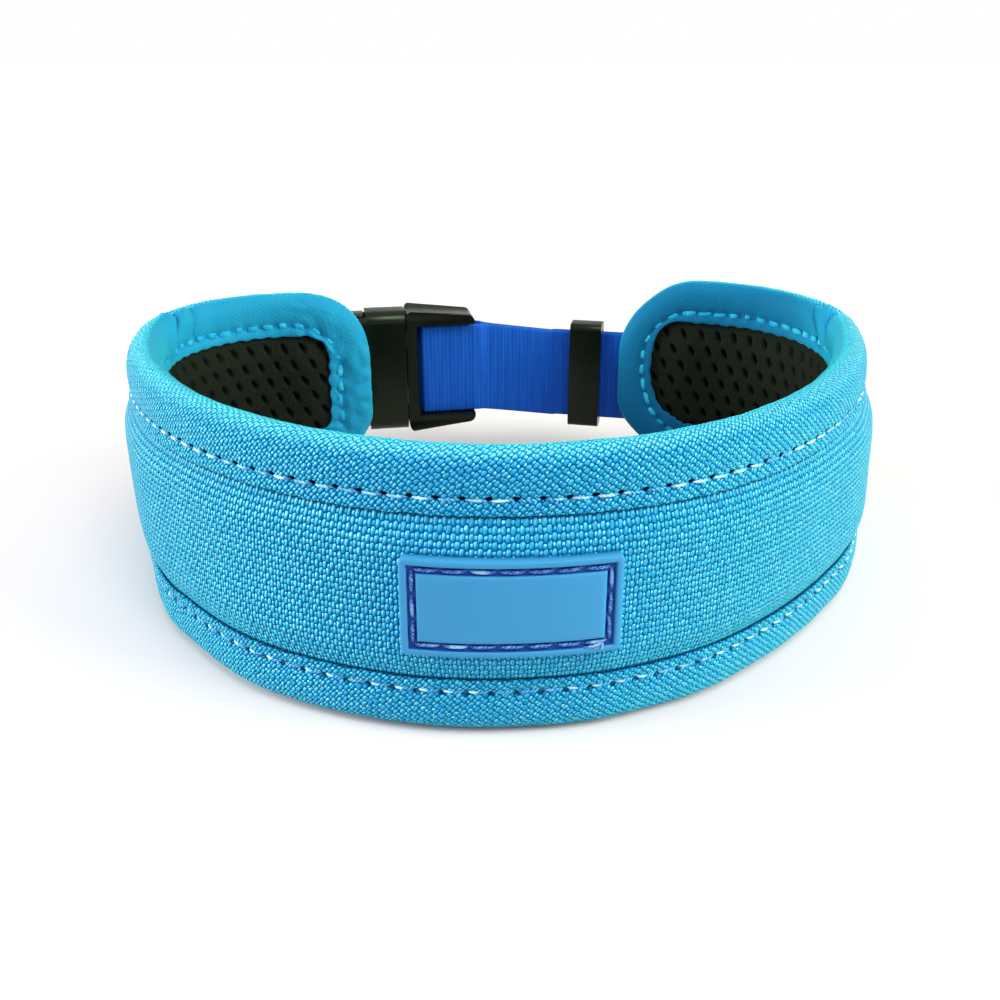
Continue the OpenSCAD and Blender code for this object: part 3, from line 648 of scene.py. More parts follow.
# a grid whose vertices move to place(i, j), which gives a point, its place on the cloth in mm and marks
def clothGrid(bm, across, along, place, marks=(), flip=False):
    layers = [bm.verts.layers.float.new(mark) for mark in marks]
    made = bmesh.ops.create_grid(bm, x_segments=across, y_segments=along, size=0.5)["verts"]
    uvLayer = bm.loops.layers.uv.verify()
    clothAt = {}
    for vert in made:
        i = round((vert.co.x + 0.5) * across)
        j = round((vert.co.y + 0.5) * along)
        vert.co, clothAt[vert], *values = place(i, j)
        for layer, value in zip(layers, values):
            vert[layer] = value
    faces = {face for vert in made for face in vert.link_faces}
    for face in faces:
        for loop in face.loops:
            loop[uvLayer].uv = clothAt[loop.vert]
    if flip:
        bmesh.ops.reverse_faces(bm, faces=list(faces))


# a grid rolled up: its sides merge, and open ends are filled
def closeUp(bm):
    bmesh.ops.remove_doubles(bm, verts=bm.verts, dist=1e-7)
    bmesh.ops.holes_fill(bm, edges=[edge for edge in bm.edges if edge.is_boundary], sides=0)
    bmesh.ops.recalc_face_normals(bm, faces=bm.faces)


# how far a face stands from the middle surface, at a distance from the rim
def crownHeight(d, bind, crown):
    k = clamp((d - bind) / (band["crownAt"] - bind))
    fall = band["rimFall"] * smoothStep(*band["rimFrom"], d)
    return band["seat"] + crown * math.sin(math.pi / 2 * k) - fall


# and how far it lifts the binding's inner face
def innerSwell(d):
    return crownHeight(max(d, band["swellFrom"]), band["bindIn"], band["crownIn"]) - band["seat"]


# a cloth stretched over the pad; surface gives its place outwards from the middle surface, and its marks
def makeCover(name, node, material, shape, surface, marks):
    low, high = -tipLeft + shape["under"], tipRight - shape["under"]
    wide = halfHeight - shape["under"]
    across, along = int((high - low) / shape["stepAlong"]), int(2 * wide / shape["stepAcross"])

    def place(i, j):
        s = low + (high - low) * i / across
        w = -wide + 2 * wide * j / along
        o, *values = surface(s, w, edgeDistance(s, w))
        return bandPoint(s, w, o), (s, w), *values

    bm = newBmesh()
    clothGrid(bm, across, along, place, marks, flip=shape["inside"])
    piece = finishPiece(name, bm, material, "band", node)


panelShape = {
    "inside": False,
    "under": 8.6,  # mm from the edge where the cloth starts, under the binding
    "stepAlong": 0.9,
    "stepAcross": 0.6,
    "ripple": 0.2,
    "rippleSize": (14, 11),
    "shade": (10.95, 10.45),  # distances from the rim between which the binding shades the cloth
    "shadeShare": 0.9,
}


def panelSurface(s, w, d):
    shape = panelShape
    o = crownHeight(d, band["bindOut"], band["crownOut"])
    swell = smoothStep(band["bindOut"], band["crownAt"], d)
    sizeS, sizeW = shape["rippleSize"]
    o += shape["ripple"] * swell * noise.noise(Vector((s / sizeS, w / sizeW, 3.1)))
    return o, shape["shadeShare"] * smoothStep(*shape["shade"], d), 1.0


makeCover("outerPanel", "outer_panel", panelCloth, panelShape, panelSurface,
          ["shade", "upward"])

liningShape = {
    "inside": True,
    "under": 7.0,
    "stepAlong": 0.5,
    "stepAcross": 0.5,
    "holePitch": 4.5,
    "rowPitch": 4.0,
    "holeSize": (0.62, 1.25),  # half width and half height of an open oval
    "holeEdge": (1.25, 0.6),  # shares of that size between which it sinks
    "holeLean": 0.4,
    "holeDepth": 1.1,
}


def liningSurface(s, w, d):
    shape = liningShape
    row = round(w / shape["rowPitch"])
    y = w - row * shape["rowPitch"]
    inRow = (s - shape["holeLean"] * y) / shape["holePitch"] + 0.5 * (row % 2)
    x = (inRow - round(inRow)) * shape["holePitch"]
    away = math.hypot(x / shape["holeSize"][0], y / shape["holeSize"][1])
    hole = smoothStep(*shape["holeEdge"], away)
    return shape["holeDepth"] * hole - crownHeight(d, band["bindIn"], band["crownIn"]), hole


makeCover("meshLining", "mesh_lining", liningCloth, liningShape, liningSurface, ["hole"])

foamShape = {
    "edge": 3.0,  # mm in from the rim
    "below": 1.3,  # mm under the faces of panel and lining
    "step": 3.0,
    "across": 14,
}


# the pad fills the band between panel and lining, one closed slab
def makeFoam():
    shape = foamShape
    low, high = -tipLeft + shape["edge"], tipRight - shape["edge"]
    along = int((high - low) / shape["step"])
    across = shape["across"]

    def place(i, j):
        s = low + (high - low) * j / along
        pastEnd = max(s - runRight, -runLeft - s, 0.0)
        r = band["endRadius"] - shape["edge"]
        wide = sideHalf + math.sqrt(max(r * r - pastEnd * pastEnd, 0.0))
        k = i % (2 * across)
        outer = k < across
        w = wide * (2 * k / across - 1) if outer else wide * (3 - 2 * k / across)
        d = edgeDistance(s, w)
        bind, crown = ("bindOut", "crownOut") if outer else ("bindIn", "crownIn")
        o = crownHeight(d, band[bind], band[crown]) - shape["below"]
        return bandPoint(s, w, o if outer else -o), (s, w)

    bm = newBmesh()
    clothGrid(bm, 2 * across, along, place)
    closeUp(bm)
    piece = finishPiece("foamPad", bm, foamStuff, "band", "foam_pad")


makeFoam()
print("panel, lining and foam made")


def foldDepth(s, d, folds):
    depth = 0.0
    for at, drift, width, deep in folds:
        x = (s - at - drift * clamp(d / seamIn)) / width
        depth += deep * math.exp(-abs(x) ** bindingShape["foldPower"])
    return depth


def makeBinding():
    shape = bindingShape
    n = len(tapeRing)
    stations = int(edgeLength / shape["step"])
    loopRadius = edgeLength / (2 * math.pi)
    cornerStarts = (runLength, rightLow - cornerLength, leftLow, edgeLength - cornerLength)

    def fade(key, x):
        return smoothStep(*shape["fades"][key], x)

    def lump(t, d, size, high, seed):
        turn = 2 * math.pi * t / edgeLength
        r = loopRadius / size
        return high * noise.noise(Vector((r * math.cos(turn), r * math.sin(turn), d / size + seed)))

    # how far the tape's face stands out at a place, and how deep a fold is there
    def relief(t, s, d, o, seam):
        inside = o < 0
        aside = (d - (seamIn if inside else seam)) / shape["dipWidth"][inside]
        drawn = shape["dip"][inside] + shape["pull"][inside] * math.cos(2 * math.pi * t / stitchPitch)
        push = sum(lump(t, d, *look) for look in shape["lumps"][inside]) - math.exp(-aside ** 2) * drawn
        if not inside:
            push += fade("raggedD", d) * lump(t, d, *shape["ragged"])
        fold = 0.0
        if t < runLength:
            reach = fade("foldO", o) * fade("foldD", d)
            fold = reach * foldDepth(s, d, shape["folds"])
            push += reach * foldDepth(s, d, shape["lobes"]) - fold
        # crumpled where the tape turns the left end
        crumple = fade("crumpleS", s) * fade("crumpleO", o)
        push += crumple * (sum(abs(lump(t, d, *look)) for look in shape["crumples"]) - shape["crumpleSink"])
        return push, fold

    def place(i, j):
        d, o = tapeRing[i % n]
        t = (j % stations) * edgeLength / stations
        inside = o < 0
        seam = seamDepth(t, inside)
        push = fold = 0.0
        if i % n < shape["around"]:
            push, fold = relief(t, edgePoint(t, d)[0], d, o, seam)
        spot = tapeRing[i % n] + tapeOut[i % n] * push
        turns = [math.sin(math.pi * clamp((t - start) / cornerLength)) ** 2 for start in cornerStarts]
        full = sum(turn * size for turn, size in zip(turns, shape["corners"]))
        d = spot.x - full * fade("cornerD", spot.x)
        out = spot.y
        if inside:
            if d > seamIn:
                d = seamIn + (d - seamIn) * (1 - shape["cutShort"] * (turns[0] + turns[3]))
                d += shape["scallop"] * fade("scallopD", d) * math.cos(2 * math.pi * t / stitchPitch)
            d *= 1 + (seam / seamIn - 1) * smoothStep(0.0, seamIn, d)
            out -= innerSwell(d)
        s, w = edgePoint(t, d)
        ends = min(i, shape["around"] - 1 - i)
        shade = shape["edgeShade"][ends] if 0 <= ends < len(shape["edgeShade"]) else 0.0
        shade = max(shade, shape["foldShade"] * fade("foldDepth", fold))
        if inside:
            shade = max(shade, shape["endShade"] * fade("endS", s) * fade("endO", o))
        worn = shape["wornShare"] * fade("wornO", o)
        # which way is up along the tape, so that the painted highlights turn with it
        upward = clamp(shape["topFacing"] * w / (halfHeight - seamOut), -1.0)
        # painted highlight along the top of the upper rim
        rimHighlight = fade("crestD", d) * fade("crestO", o) * max(upward, 0.0)
        shift = 0.0 if inside else seam - seamOut
        cloth = (j * edgeLength / stations, tapeReach[i] + shift)
        return bandPoint(s, w, out), cloth, shade, worn, upward, rimHighlight

    bm = newBmesh()
    clothGrid(bm, n, stations, place, marks=["shade", "worn", "upward", "rimHighlight"])
    closeUp(bm)
    piece = finishPiece("edgeBinding", bm, bindingCloth, "band", "edge_binding")


makeBinding()
print("binding made")


stitchForm = {
    "facets": 8,
    "blunt": 0.45,  # how much fuller its ends are than a ball's
    "dip": 0.75,  # share of its height by which the ends sink
}


# one stitch is a small drawn-out ball that dips into the cloth at both ends; the last two arguments set where
# along it the thread's painted highlight lies
def addStitch(bm, place, length, width, height, highlightSide=1, sunk=0.0):
    facets = stitchForm["facets"]
    made = bmesh.ops.create_uvsphere(bm, u_segments=facets, v_segments=facets, radius=1.0)["verts"]
    uvLayer = bm.loops.layers.uv.verify()
    clothAt = {}
    for vert in made:
        x, y, z = vert.co.z, vert.co.x, vert.co.y
        full = math.sqrt(max(1 - x * x, 0.0))
        blunt = full ** -stitchForm["blunt"] if full > 1e-4 else 1.0
        clothAt[vert] = (highlightSide * x * length / 2 + sunk, math.atan2(z, y) * width / 2)
        dip = height * stitchForm["dip"] * x ** 4
        vert.co = place(x * length / 2, y * blunt * width / 2, z * blunt * height / 2 - dip)
    for face in {face for vert in made for face in vert.link_faces}:
        for loop in face.loops:
            loop[uvLayer].uv = clothAt[loop.vert]


# outside and inside; the depth is the seam's, where the thread lies
topStitch = {
    "length": (3.3, 2.9),
    "width": (0.52, 1.5),
    "height": (0.46, 0.54),
    "depth": (3.02, -2.98),
    "skew": (0.12, 0.3),
    "stray": (0.0, 0.5),
    "proud": (0.4, 0.4),  # share of its height by which the thread stands out
}


def makeEdgeStitches(name, node, material, inside):
    bm = newBmesh()
    look = {key: pair[inside] for key, pair in topStitch.items()}
    side = -1 if inside else 1
    for i in range(stitchCount):
        middle = (i + 0.5) * stitchPitch
        skew = look["skew"] * noise.noise(Vector((i * 3.7, 0.3, side)))
        stray = look["stray"] * noise.noise(Vector((i * 1.7, 4.1, 0.6)))

        def place(x, y, z):
            d = seamDepth(middle + x, inside) + y + skew * x + stray
            s, w = edgePoint(middle + x, d)
            swell = innerSwell(d) if inside else 0.0
            return bandPoint(s, w, look["depth"] + side * (z + look["height"] * look["proud"] + swell))

        # the lower seam's thread lies deeper in shade, so its painted highlight is shifted mostly off it and
        # it shows more blue
        lower = rightLow < middle < leftLow
        addStitch(bm, place, look["length"] * (1 + stray), look["width"], look["height"],
                  -1 if lower else 1, 1.0 if lower else 0.0)
    bmesh.ops.recalc_face_normals(bm, faces=bm.faces)
    finishPiece(name, bm, material, "band", node)


makeEdgeStitches("needleThread", "needle_thread", needleThread, False)
makeEdgeStitches("bobbinThread", "bobbin_thread", bobbinThread, True)
print("topstitches made")

badgeShape = {
    "length": 32.5,
    "height": 17.0,
    "s": 1.7,
    "w": 0.0,
    "corner": 0.9,
    # height over the panel at distances in from the edge: border, sunk channel, plaque
    "profile": [(0.0, -0.15), (0.03, 1.0), (0.1, 1.32), (0.22, 1.5), (0.42, 1.59), (0.7, 1.6), (0.95, 1.59),
                (1.12, 1.5), (1.2, 1.3), (1.26, 0.98), (1.36, 0.86), (1.9, 0.84), (2.44, 0.86), (2.54, 0.98),
                (2.6, 1.26), (2.7, 1.44), (2.9, 1.52), (3.4, 1.55)],
    # distances from the edge between which the channel's shade is painted
    "sunk": (1.2, 2.56),
    "channel": 0.86,
    "lift": 0.1,
    "step": 0.7,
}


def onBadge(x, y, h):
    s, w = badgeShape["s"] + x, badgeShape["w"] + y
    seat = crownHeight(halfHeight - abs(w), band["bindOut"], band["crownOut"])
    return bandPoint(s, w, min(seat, plateau) + badgeShape["lift"] + h)


def makeBadge():
    shape = badgeShape
    profile = shape["profile"]
    half = (shape["length"] / 2, shape["height"] / 2)
    lines = []
    for h in half:
        inner = h - profile[-1][0]
        count = int(2 * inner / shape["step"])
        rims = [d - h for d, _ in profile[:-1]]
        lines.append(rims + spaced(-inner, inner, count) + [-r for r in rims[::-1]])

    def height(d):
        for (d0, h0), (d1, h1) in zip(profile, profile[1:]):
            if d <= d1:
                return h0 + (h1 - h0) * (d - d0) / (d1 - d0)
        return profile[-1][1]

    def place(i, j):
        x, y = lines[0][i], lines[1][j]
        d = max(min(half[0] - abs(x), half[1] - abs(y)), 0.0)
        # the outermost corners are round
        r = shape["corner"]
        u, v = abs(x) - half[0] + r, abs(y) - half[1] + r
        if u > 0 and v > 0:
            pull = max(u, v) / math.hypot(u, v)
            x = math.copysign(half[0] - r + u * pull, x)
            y = math.copysign(half[1] - r + v * pull, y)
        # painted shade mark in the sunk channel
        sunk = 1.0 if shape["sunk"][0] < d < shape["sunk"][1] else 0.0
        return onBadge(x, y, height(d)), (x, y), sunk

    bm = newBmesh()
    clothGrid(bm, len(lines[0]) - 1, len(lines[1]) - 1, place, marks=["sunk"])
    bmesh.ops.holes_fill(bm, edges=[edge for edge in bm.edges if edge.is_boundary], sides=0)
    bmesh.ops.recalc_face_normals(bm, faces=bm.faces)
    finishPiece("badgePatch", bm, badgeRubber, "band", "badge_patch")


makeBadge()


# a row of stitches along a straight line; spot gives the point at a place on the face and a height over it
def addRow(bm, start, end, look, spot, skew=lambda k: 0.0):
    (ax, ay), (bx, by) = start, end
    long = math.hypot(bx - ax, by - ay)
    count = max(round(long / look["pitch"]), 1)
    pitch = long / count
    ex, ey = (bx - ax) / long, (by - ay) / long
    for k in range(count):

        def place(x, y, z):
            along = (k + 0.5) * pitch + x
            off = y + skew(k) * x
            return spot(ax + ex * along - ey * off, ay + ey * along + ex * off, z)

        addStitch(bm, place, look["length"] * pitch / look["pitch"], look["width"], look["height"])


badgeStitch = {
    "pitch": 4.4,
    "length": 4.1,
    "width": 0.62,
    "height": 0.58,
    "inset": 1.9,
    "skew": 0.12,
    # the cut thread end: turn and length of its plies, their thickness and their height over the panel
    "tails": [(-0.3, 3.4), (-0.8, 2.6), (-1.4, 2.2)],
    "tailThick": 0.5,
    "tailRise": 1.35,
    "tailFrom": (1.0, 0.2),  # mm in from the corner and below it
    "tailFlat": 0.6,
    "tailWave": 0.25,
}


def makeBadgeStitches():
    look = badgeStitch
    hx = badgeShape["length"] / 2 - look["inset"]
    hy = badgeShape["height"] / 2 - look["inset"]
    corners = [(-hx, hy), (hx, hy), (hx, -hy), (-hx, -hy)]
    bm = newBmesh()

    def inChannel(x, y, z):
        return onBadge(x, y, badgeShape["channel"] + look["height"] / 2 + z)

    for i in range(4):
        addRow(bm, corners[i], corners[(i + 1) % 4], look, inChannel,
               lambda k: look["skew"] * noise.noise(Vector((k * 2.3, i * 5.1, 0.4))))
    # the plies start at the lower right corner
    inward, below = look["tailFrom"]
    for turn, long in look["tails"]:

        def tail(x, y, z):
            along = x + long / 2
            px = hx - inward - math.cos(turn) * along + math.sin(turn) * y
            py = -hy - below + math.sin(turn) * along * look["tailFlat"] - math.cos(turn) * y
            return onBadge(px, py, look["tailRise"] + z + look["tailWave"] * math.sin(along))

        addStitch(bm, tail, long, look["tailThick"], look["tailThick"])
    bmesh.ops.recalc_face_normals(bm, faces=bm.faces)
    finishPiece("badgeStitches", bm, badgeThread, "band", "badge_stitches")


makeBadgeStitches()
print("badge made")

webbing = {
    "width": 23.5,
    "thick": 1.3,
    "first": plateau + 0.7,  # middle of the layer on the cloth, and of the one over it
    "second": plateau + 2.1,
    "step": 0.7,
    "faceSteps": 12,
    "selvedge": 0.5,
    "thinner": 0.12,  # share by which the face falls towards its selvedges
    "edgeThick": 0.75,  # share of the thickness that is left at the selvedge's turn
    "edgeIn": 0.14,
}
# the buckle's line: x along it from the mouth, y outwards
buckle = {
    "gap": 0.9,  # between the panel's crown and the buckle
    "thick": 10.0,
    "rise": 1.7,  # over the band's middle height
    "webSag": 0.25,
    "mouthPastTip": 9.6,
    "ringX": -34.4,
    "turnX": -30.2,  # the female half's bar, where the tab turns back
    "wrap": 2.7,  # from a bar's middle to the middle of the webbing round it
    "ringWrap": 2.95,
    "crossX": 5.7,  # the male half's crossbar
    "crossWrap": 1.9,
    "baseLength": 18.0,
    "spreadX": 23.0,  # where the strap's two layers come together
}
leftTip = walkBand(-tipLeft)
rightTip = walkBand(tipRight)
buckleTurn = math.radians(180 - leftTip[4])
alongBuckle = Vector((math.cos(buckleTurn), math.sin(buckleTurn)))
outBuckle = Vector((leftTip[2], leftTip[3]))
mouth = (Vector(leftTip[:2]) + outBuckle * (plateau + buckle["gap"] + buckle["thick"] / 2)
         + alongBuckle * buckle["mouthPastTip"])
boxMiddle = Vector(band["centre"])


def lineSpot(spot, rise):
    return Vector((spot.x, spot.y, rise))


def onBuckle(x, y, rise=buckle["rise"]):
    return lineSpot(mouth + alongBuckle * x + outBuckle * y, rise)


def onBand(s, o, rise):
    x, y, outX, outY, turned = walkBand(s)
    return Vector((x + o * outX, y + o * outY, rise))


# a webbing ribbon on edge, through points in plan that also give its rise over the band's middle
def makeRibbon(name, node, line):
    total = sum((q - p).length for p, q in zip(line, line[1:]))
    path = smoothLine(line, max(int(total / webbing["step"]), 2 * len(line)))
    reach = [0.0]
    for p, q in zip(path, path[1:]):
        reach.append(reach[-1] + (q - p).length)
    halfW, halfT = webbing["width"] / 2, webbing["thick"] / 2
    steps = webbing["faceSteps"]
    falls = [webbing["thinner"] * math.cos(math.pi * k / steps) ** 8 for k in range(steps + 1)]
    flat = halfW - webbing["selvedge"]
    face = [(halfT * (1 - fall), w) for fall, w in zip(falls, spaced(-flat, flat, steps))]
    turnT, turnW = halfT * webbing["edgeThick"], halfW - webbing["edgeIn"]
    edge = [(turnT, turnW), (0.0, halfW), (-turnT, turnW)]
    section = face + edge + [(-o, -w) for o, w in face] + [(-o, -w) for o, w in edge]
    count = len(section)
    last = len(path) - 1

    def place(i, j):
        o, w = section[i % count]
        run = (path[min(j + 1, last)] - path[max(j - 1, 0)]).to_2d().normalized()
        spot = path[j].to_2d() + Vector((run.y, -run.x)) * o - boxMiddle
        return Vector((spot.x, spot.y, halfHeight + path[j].z + w)) * mm, (reach[j], w)

    bm = newBmesh()
    clothGrid(bm, count, last, place)
    closeUp(bm)
    piece = toObject(name, bm, webbingCloth)
    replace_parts(piece, node)
    return piece


tabShape = {
    "fall": 4.9,  # mm along the band in which the tab comes down from the ring to the cloth
    "sewn": 20.0,
    "seamIn": 2.2,
}
tabNear = -(tipLeft + buckle["ringX"] + buckle["mouthPastTip"] - tabShape["fall"])
tabFar = tabNear + tabShape["sewn"]


def makeTab():
    ringX, turnX, rise = buckle["ringX"], buckle["turnX"], buckle["rise"]
    wrap, ringWrap = buckle["wrap"], buckle["ringWrap"]
    line = [onBand(s, webbing["first"], rise) for s in spaced(tabFar, tabNear, 7)]
    line += [onBuckle(ringX - 0.6, -ringWrap), onBuckle(ringX + 0.8, -ringWrap), onBuckle(turnX, -wrap)]
    for deg in range(-60, 61, 20):
        a = math.radians(deg)
        line.append(onBuckle(turnX + wrap * math.cos(a), wrap * math.sin(a)))
    line.append(onBuckle(turnX, wrap))
    for deg in range(90, 166, 15):
        a = math.radians(deg)
        line.append(onBuckle(ringX + ringWrap * math.cos(a), ringWrap * math.sin(a)))
    line += [onBand(s, webbing["second"], rise) for s in spaced(tabNear, tabFar, 7)]
    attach(makeRibbon("buckleTab", "buckle_tab", line), "band")


makeTab()

strapShape = {
    "seamBack": 13.0,  # from the tip to the box seam
    "sewn": 26.0,
    "endPast": 3.0,
    "drop": 1.6,
    "bendRadius": 8.0,
    "keeperFromTip": 9.4,
    "keeperLength": 8.2,
    "keeperPlay": 2.8,
    "tailPast": 9.0,  # the folded tail ends this far past the keeper
}
strapStart = tipRight - strapShape["seamBack"] - strapShape["sewn"]
strapTail = tipRight + strapShape["keeperFromTip"] - strapShape["keeperLength"] / 2 - strapShape["tailPast"]


def makeStrap():
    shape = strapShape
    drop = -shape["drop"]
    heading = math.radians(rightTip[4])
    alongRight = Vector((math.cos(heading), math.sin(heading)))
    outRight = Vector((rightTip[2], rightTip[3]))
    pairMiddle = (webbing["first"] + webbing["second"]) / 2
    halfPair = (webbing["second"] - webbing["first"]) / 2
    straight = shape["keeperFromTip"] + shape["keeperLength"] / 2 + shape["keeperPlay"]
    bendStart = Vector(rightTip[:2]) + outRight * pairMiddle + alongRight * straight
    middle = bendStart - outRight * shape["bendRadius"]
    crossX, crossWrap = buckle["crossX"], buckle["crossWrap"]
    spreadX, baseLength = buckle["spreadX"], buckle["baseLength"]
    aim = onBuckle(spreadX, 0).to_2d() - middle
    turns = spaced(rightTip[4] - 90, math.degrees(math.atan2(aim.y, aim.x)) % 360
                   + math.degrees(math.asin(shape["bendRadius"] / aim.length)) - 90, 4)

    def bend(radius, degs):
        spots = [(math.cos(math.radians(a)), math.sin(math.radians(a))) for a in degs]
        return [lineSpot(middle + radius * Vector(spot), drop) for spot in spots]

    line = [onBand(s, webbing["first"], drop) for s in spaced(strapStart - shape["endPast"], tipRight, 11)]
    # between the male half and the bend the strap falls evenly
    low = buckle["rise"] - buckle["webSag"]
    spread = low - (low - drop) * (spreadX - baseLength) / (spreadX - baseLength + aim.length)
    line += bend(shape["bendRadius"] - halfPair, turns)
    line += [onBuckle(spreadX, -halfPair, spread), onBuckle(baseLength, -crossWrap, low)]
    line.append(onBuckle(crossX, -crossWrap, low))
    for deg in range(120, 241, 30):
        a = math.radians(deg)
        line.append(onBuckle(crossX + crossWrap * math.cos(a), -crossWrap * math.sin(a), low))
    line += [onBuckle(crossX, crossWrap, low), onBuckle(baseLength, crossWrap, low)]
    line.append(onBuckle(spreadX, halfPair, spread))
    line += bend(shape["bendRadius"] + halfPair, turns[::-1])
    line += [onBand(s, webbing["second"], drop) for s in (tipRight, strapTail)]
    piece = makeRibbon("strapWebbing", "strap", line)
    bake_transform(piece)


makeStrap()

seamStitch = {
    "pitch": 2.8,
    "length": 2.7,
    "width": 0.65,
    "height": 0.5,
    "lift": 0.18,
    "inset": 2.2,
    "tailRows": (1.5, 3.0),  # mm from the strap's cut end
}
seamReach = webbing["width"] / 2 - seamStitch["inset"]


def makeSeam(name, node, lines, o, rise):
    bm = newBmesh()

    def onWebbing(s, w, z):
        spot = onBand(s, o + seamStitch["lift"] + z, 0).to_2d() - boxMiddle
        return Vector((spot.x, spot.y, halfHeight + rise + w)) * mm

    for start, end in lines:
        addRow(bm, start, end, seamStitch, onWebbing)
    bmesh.ops.recalc_face_normals(bm, faces=bm.faces)
    finishPiece(name, bm, seamThread, "band", node)


def boxLines(s0, s1):
    corners = [(s0, -seamReach), (s1, -seamReach), (s1, seamReach), (s0, seamReach)]
    cross = [(corners[0], corners[2]), (corners[3], corners[1])]
    return list(zip(corners, corners[1:] + corners[:1])) + cross


makeSeam("tabStitches", "tab_stitches", boxLines(tabNear + tabShape["seamIn"], tabFar - tabShape["seamIn"]),
         webbing["second"] + webbing["thick"] / 2, buckle["rise"])
makeSeam("strapStitches", "strap_stitches", boxLines(strapStart, strapStart + strapShape["sewn"]),
         webbing["first"] + webbing["thick"] / 2, -strapShape["drop"])
makeSeam("tailStitches", "tail_stitches",
         [((strapTail + k, -seamReach), (strapTail + k, seamReach)) for k in seamStitch["tailRows"]],
         webbing["second"] + webbing["thick"] / 2, -strapShape["drop"])
print("webbing made")

mergeDistance = 2e-6  # m; the CAD meshes are loose triangles
flatWithin = 2  # degrees between faces
sharpFrom = 32
edgeSteps = 3
rollSteps = 4

# moulded pieces keep the CAD form and get the soft edges of a real moulding
moulded = {
    "femaleBuckle": {"node": "female_buckle", "body": "band", "edge": 0.5},
    "maleBuckle": {"node": "male_buckle", "body": "male_half", "edge": 0.35, "roll": 2.2},
    "upperProng": {"node": "upper_prong", "body": "upper_prong", "edge": 0.35},
    "lowerProng": {"node": "lower_prong", "body": "lower_prong", "edge": 0.35},
    "strapKeeper": {"node": "strap_keeper", "body": "keeper", "edge": 0.45},
}


# the long edges are rolled over: cuts give vertices, which move from a square corner on to an arc
def rollEdges(bm, radius):
    upAxis = Vector((0, 0, 1))
    outAxis = Vector((outBuckle.x, outBuckle.y, 0))
    middle = Vector((mouth.x - boxMiddle.x, mouth.y - boxMiddle.y, halfHeight + buckle["rise"])) * mm
    corner = []
    for axis in (outAxis, upAxis):
        corner.append(max(abs((vert.co - middle).dot(axis)) for vert in bm.verts) - radius * mm)
    for axis, start in zip((outAxis, upAxis), corner):
        for k in range(rollSteps):
            for side in (1, -1):
                reach = start + radius * mm * math.tan(math.pi / 4 * k / rollSteps)
                at = middle + axis * side * reach
                parts = [*bm.verts, *bm.edges, *bm.faces]
                bmesh.ops.bisect_plane(bm, geom=parts, dist=1e-7, plane_co=at, plane_no=axis)
    for vert in bm.verts:
        spot = vert.co - middle
        out, up = spot.dot(outAxis), spot.dot(upAxis)
        u, v = abs(out) - corner[0], abs(up) - corner[1]
        if u > 0 and v > 0:
            pull = max(u, v) / math.hypot(u, v) - 1
            vert.co += outAxis * math.copysign(u * pull, out) + upAxis * math.copysign(v * pull, up)


def bevelSharp(bm, offset):
    sharp = [edge for edge in bm.edges
             if len(edge.link_faces) == 2 and edge.calc_face_angle(0) > math.radians(sharpFrom)]
    bmesh.ops.bevel(bm, geom=sharp, offset=offset * mm, affect="EDGES", segments=edgeSteps,
                    profile=0.5, material=-1, clamp_overlap=True)


def makeMoulded(name, look):
    bm = bmesh.new()
    bm.from_mesh(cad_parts[look["node"]].data)
    bmesh.ops.remove_doubles(bm, verts=bm.verts, dist=mergeDistance)
    bmesh.ops.dissolve_limit(bm, angle_limit=math.radians(flatWithin), verts=bm.verts, edges=bm.edges)
    if "roll" in look:
        rollEdges(bm, look["roll"])
    bevelSharp(bm, look["edge"])
    finishPiece(name, bm, buckleAcetal, look["body"], look["node"])


for mouldedName, mouldedLook in moulded.items():
    makeMoulded(mouldedName, mouldedLook)


def makeRing():
    bm = bmesh.new()
    bm.from_mesh(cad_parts["d_ring"].data)
    bmesh.ops.remove_doubles(bm, verts=bm.verts, dist=mergeDistance)
    finishPiece("leadRing", bm, ringSteel, "ring", "d_ring")


makeRing()
print("buckle, keeper and ring made")

studio = {
    "floorSize": 8.0,
    "floorShift": (0, 2.0, -0.0003),
    "paper": "#DED3DB",
    "glow": (0.18, 0.5),  # m from the middle, where the paper starts to glow and is white
    "wall": (0.27, 0.19),  # the white wall ends between these heights of a ray's direction
    "skyLow": 0.2,
    "skyHigh": 0.66,
    "skyRight": 0.4,  # how much more light comes from the right
    "aim": (0, 0, 0.02),
    "lamps": {
        "leftLamp": {"place": (-0.6, -0.02, 0.19), "size": (0.5, 0.15), "energy": 6.2, "colour": "#EEFFE9"},
        "rightLamp": {"place": (0.66, -0.2, 0.33), "size": (0.45, 0.45), "energy": 7.8, "colour": "#EAFFDF"},
        "topLamp": {"place": (0.16, -0.32, 0.7), "size": (0.34, 0.34), "energy": 2.45, "colour": "#FFFFFF"},
    },
}


# 1 for the rays that the camera sees, straight, in a mirror or through glass
def seenRays(add):
    path = add("LightPath")
    seen = add("Math", [path.outputs["Is Camera Ray"], path.outputs["Is Glossy Ray"]], operation="MAXIMUM")
    return add("Math", [seen, path.outputs["Is Transmission Ray"]], operation="MAXIMUM")


# white paper sweep: lit paper near the object keeps its shadow, and the far paper glows white
def makeFloor():
    bm = bmesh.new()
    bmesh.ops.create_grid(bm, x_segments=1, y_segments=1, size=studio["floorSize"] / 2)
    bmesh.ops.translate(bm, verts=bm.verts, vec=studio["floorShift"])
    material, add = newMaterial("paperSweep")
    place = add("TexCoord")
    away = add("VectorMath", [place.outputs["Object"]], operation="LENGTH").outputs["Value"]
    far = add("MapRange", {"Value": away, "From Min": studio["glow"][0], "From Max": studio["glow"][1]})
    strength = add("Math", [far, seenRays(add)], operation="MULTIPLY")
    paper = add("BsdfDiffuse", {"Color": hexColour(studio["paper"])})
    glow = add("Emission", {"Strength": strength})
    both = add("AddShader", [paper, glow])
    add("OutputMaterial", {"Surface": both})
    toObject("floor", bm, material)


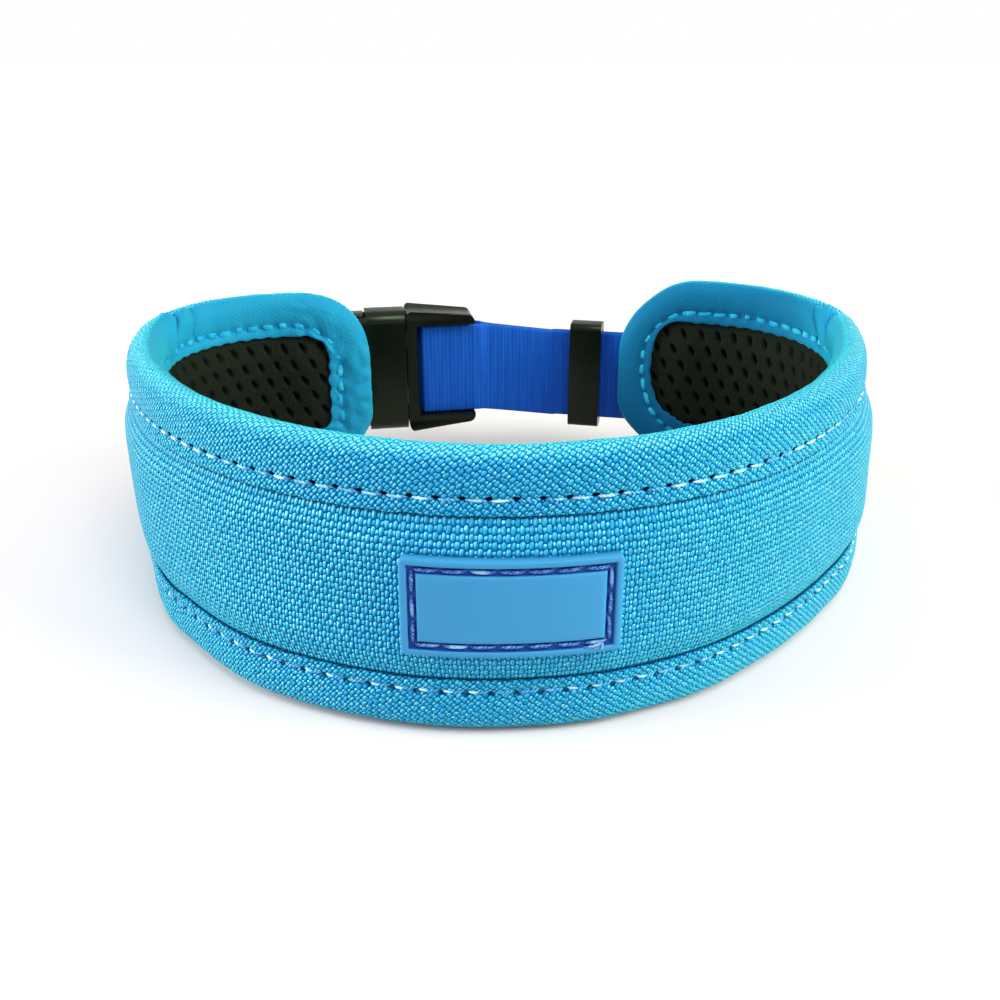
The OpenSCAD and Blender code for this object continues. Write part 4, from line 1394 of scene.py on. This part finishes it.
def makeSky():
    world = bpy.data.worlds.new("studio")
    bpy.context.scene.world = world
    world.use_nodes = True
    add = nodeAdder(world.node_tree)
    place = add("TexCoord")
    parts = add("SeparateXYZ", [place.outputs["Generated"]])
    height = add("MapRange", {
        "Value": parts.outputs["Z"], "To Min": studio["skyLow"], "To Max": studio["skyHigh"]})
    aside = add("Math", [parts.outputs["X"], studio["skyRight"], 1.0], operation="MULTIPLY_ADD")
    light = add("Math", [height, aside], operation="MULTIPLY")
    # the far wall is lit white, up to a little over the horizon
    wall = add("MapRange", {
        "Value": parts.outputs["Z"], "From Min": studio["wall"][0], "From Max": studio["wall"][1]})
    white = add("Math", [wall, seenRays(add)], operation="MULTIPLY")
    strength = add("Math", [light, white], operation="MAXIMUM")
    sky = add("Background", {"Color": (1, 1, 1, 1), "Strength": strength})
    add("OutputWorld", {"Surface": sky})


def makeLamps():
    for name, look in studio["lamps"].items():
        lamp = bpy.data.lights.new(name, "AREA")
        lamp.shape = "RECTANGLE"
        lamp.size, lamp.size_y = look["size"]
        lamp.energy = look["energy"]
        lamp.color = hexColour(look["colour"])[:3]
        holder = bpy.data.objects.new(name, lamp)
        holder.location = look["place"]
        holder.rotation_mode = "QUATERNION"
        toward = Vector(studio["aim"]) - Vector(look["place"])
        holder.rotation_quaternion = toward.to_track_quat("-Z", "Y")
        bpy.context.scene.collection.objects.link(holder)


makeFloor()
makeSky()
makeLamps()

viewFrom = {
    "place": (0.0, -141.3, 104.7),  # mm from the front middle of the band
    "pitch": 24.27,
    "lens": 36.396,
}


def makeCamera():
    camera = bpy.data.cameras.new("camera")
    camera.lens = viewFrom["lens"]
    camera.sensor_width = 36.0
    camera.clip_start = 0.01
    holder = bpy.data.objects.new("camera", camera)
    x, y, z = viewFrom["place"]
    holder.location = Vector((x - boxMiddle.x, y - boxMiddle.y, z)) * mm
    holder.rotation_euler = (math.radians(90 - viewFrom["pitch"]), 0, 0)
    bpy.context.scene.collection.objects.link(holder)
    bpy.context.scene.camera = holder
    bpy.context.scene.view_settings.view_transform = "Standard"


makeCamera()
print("studio made")
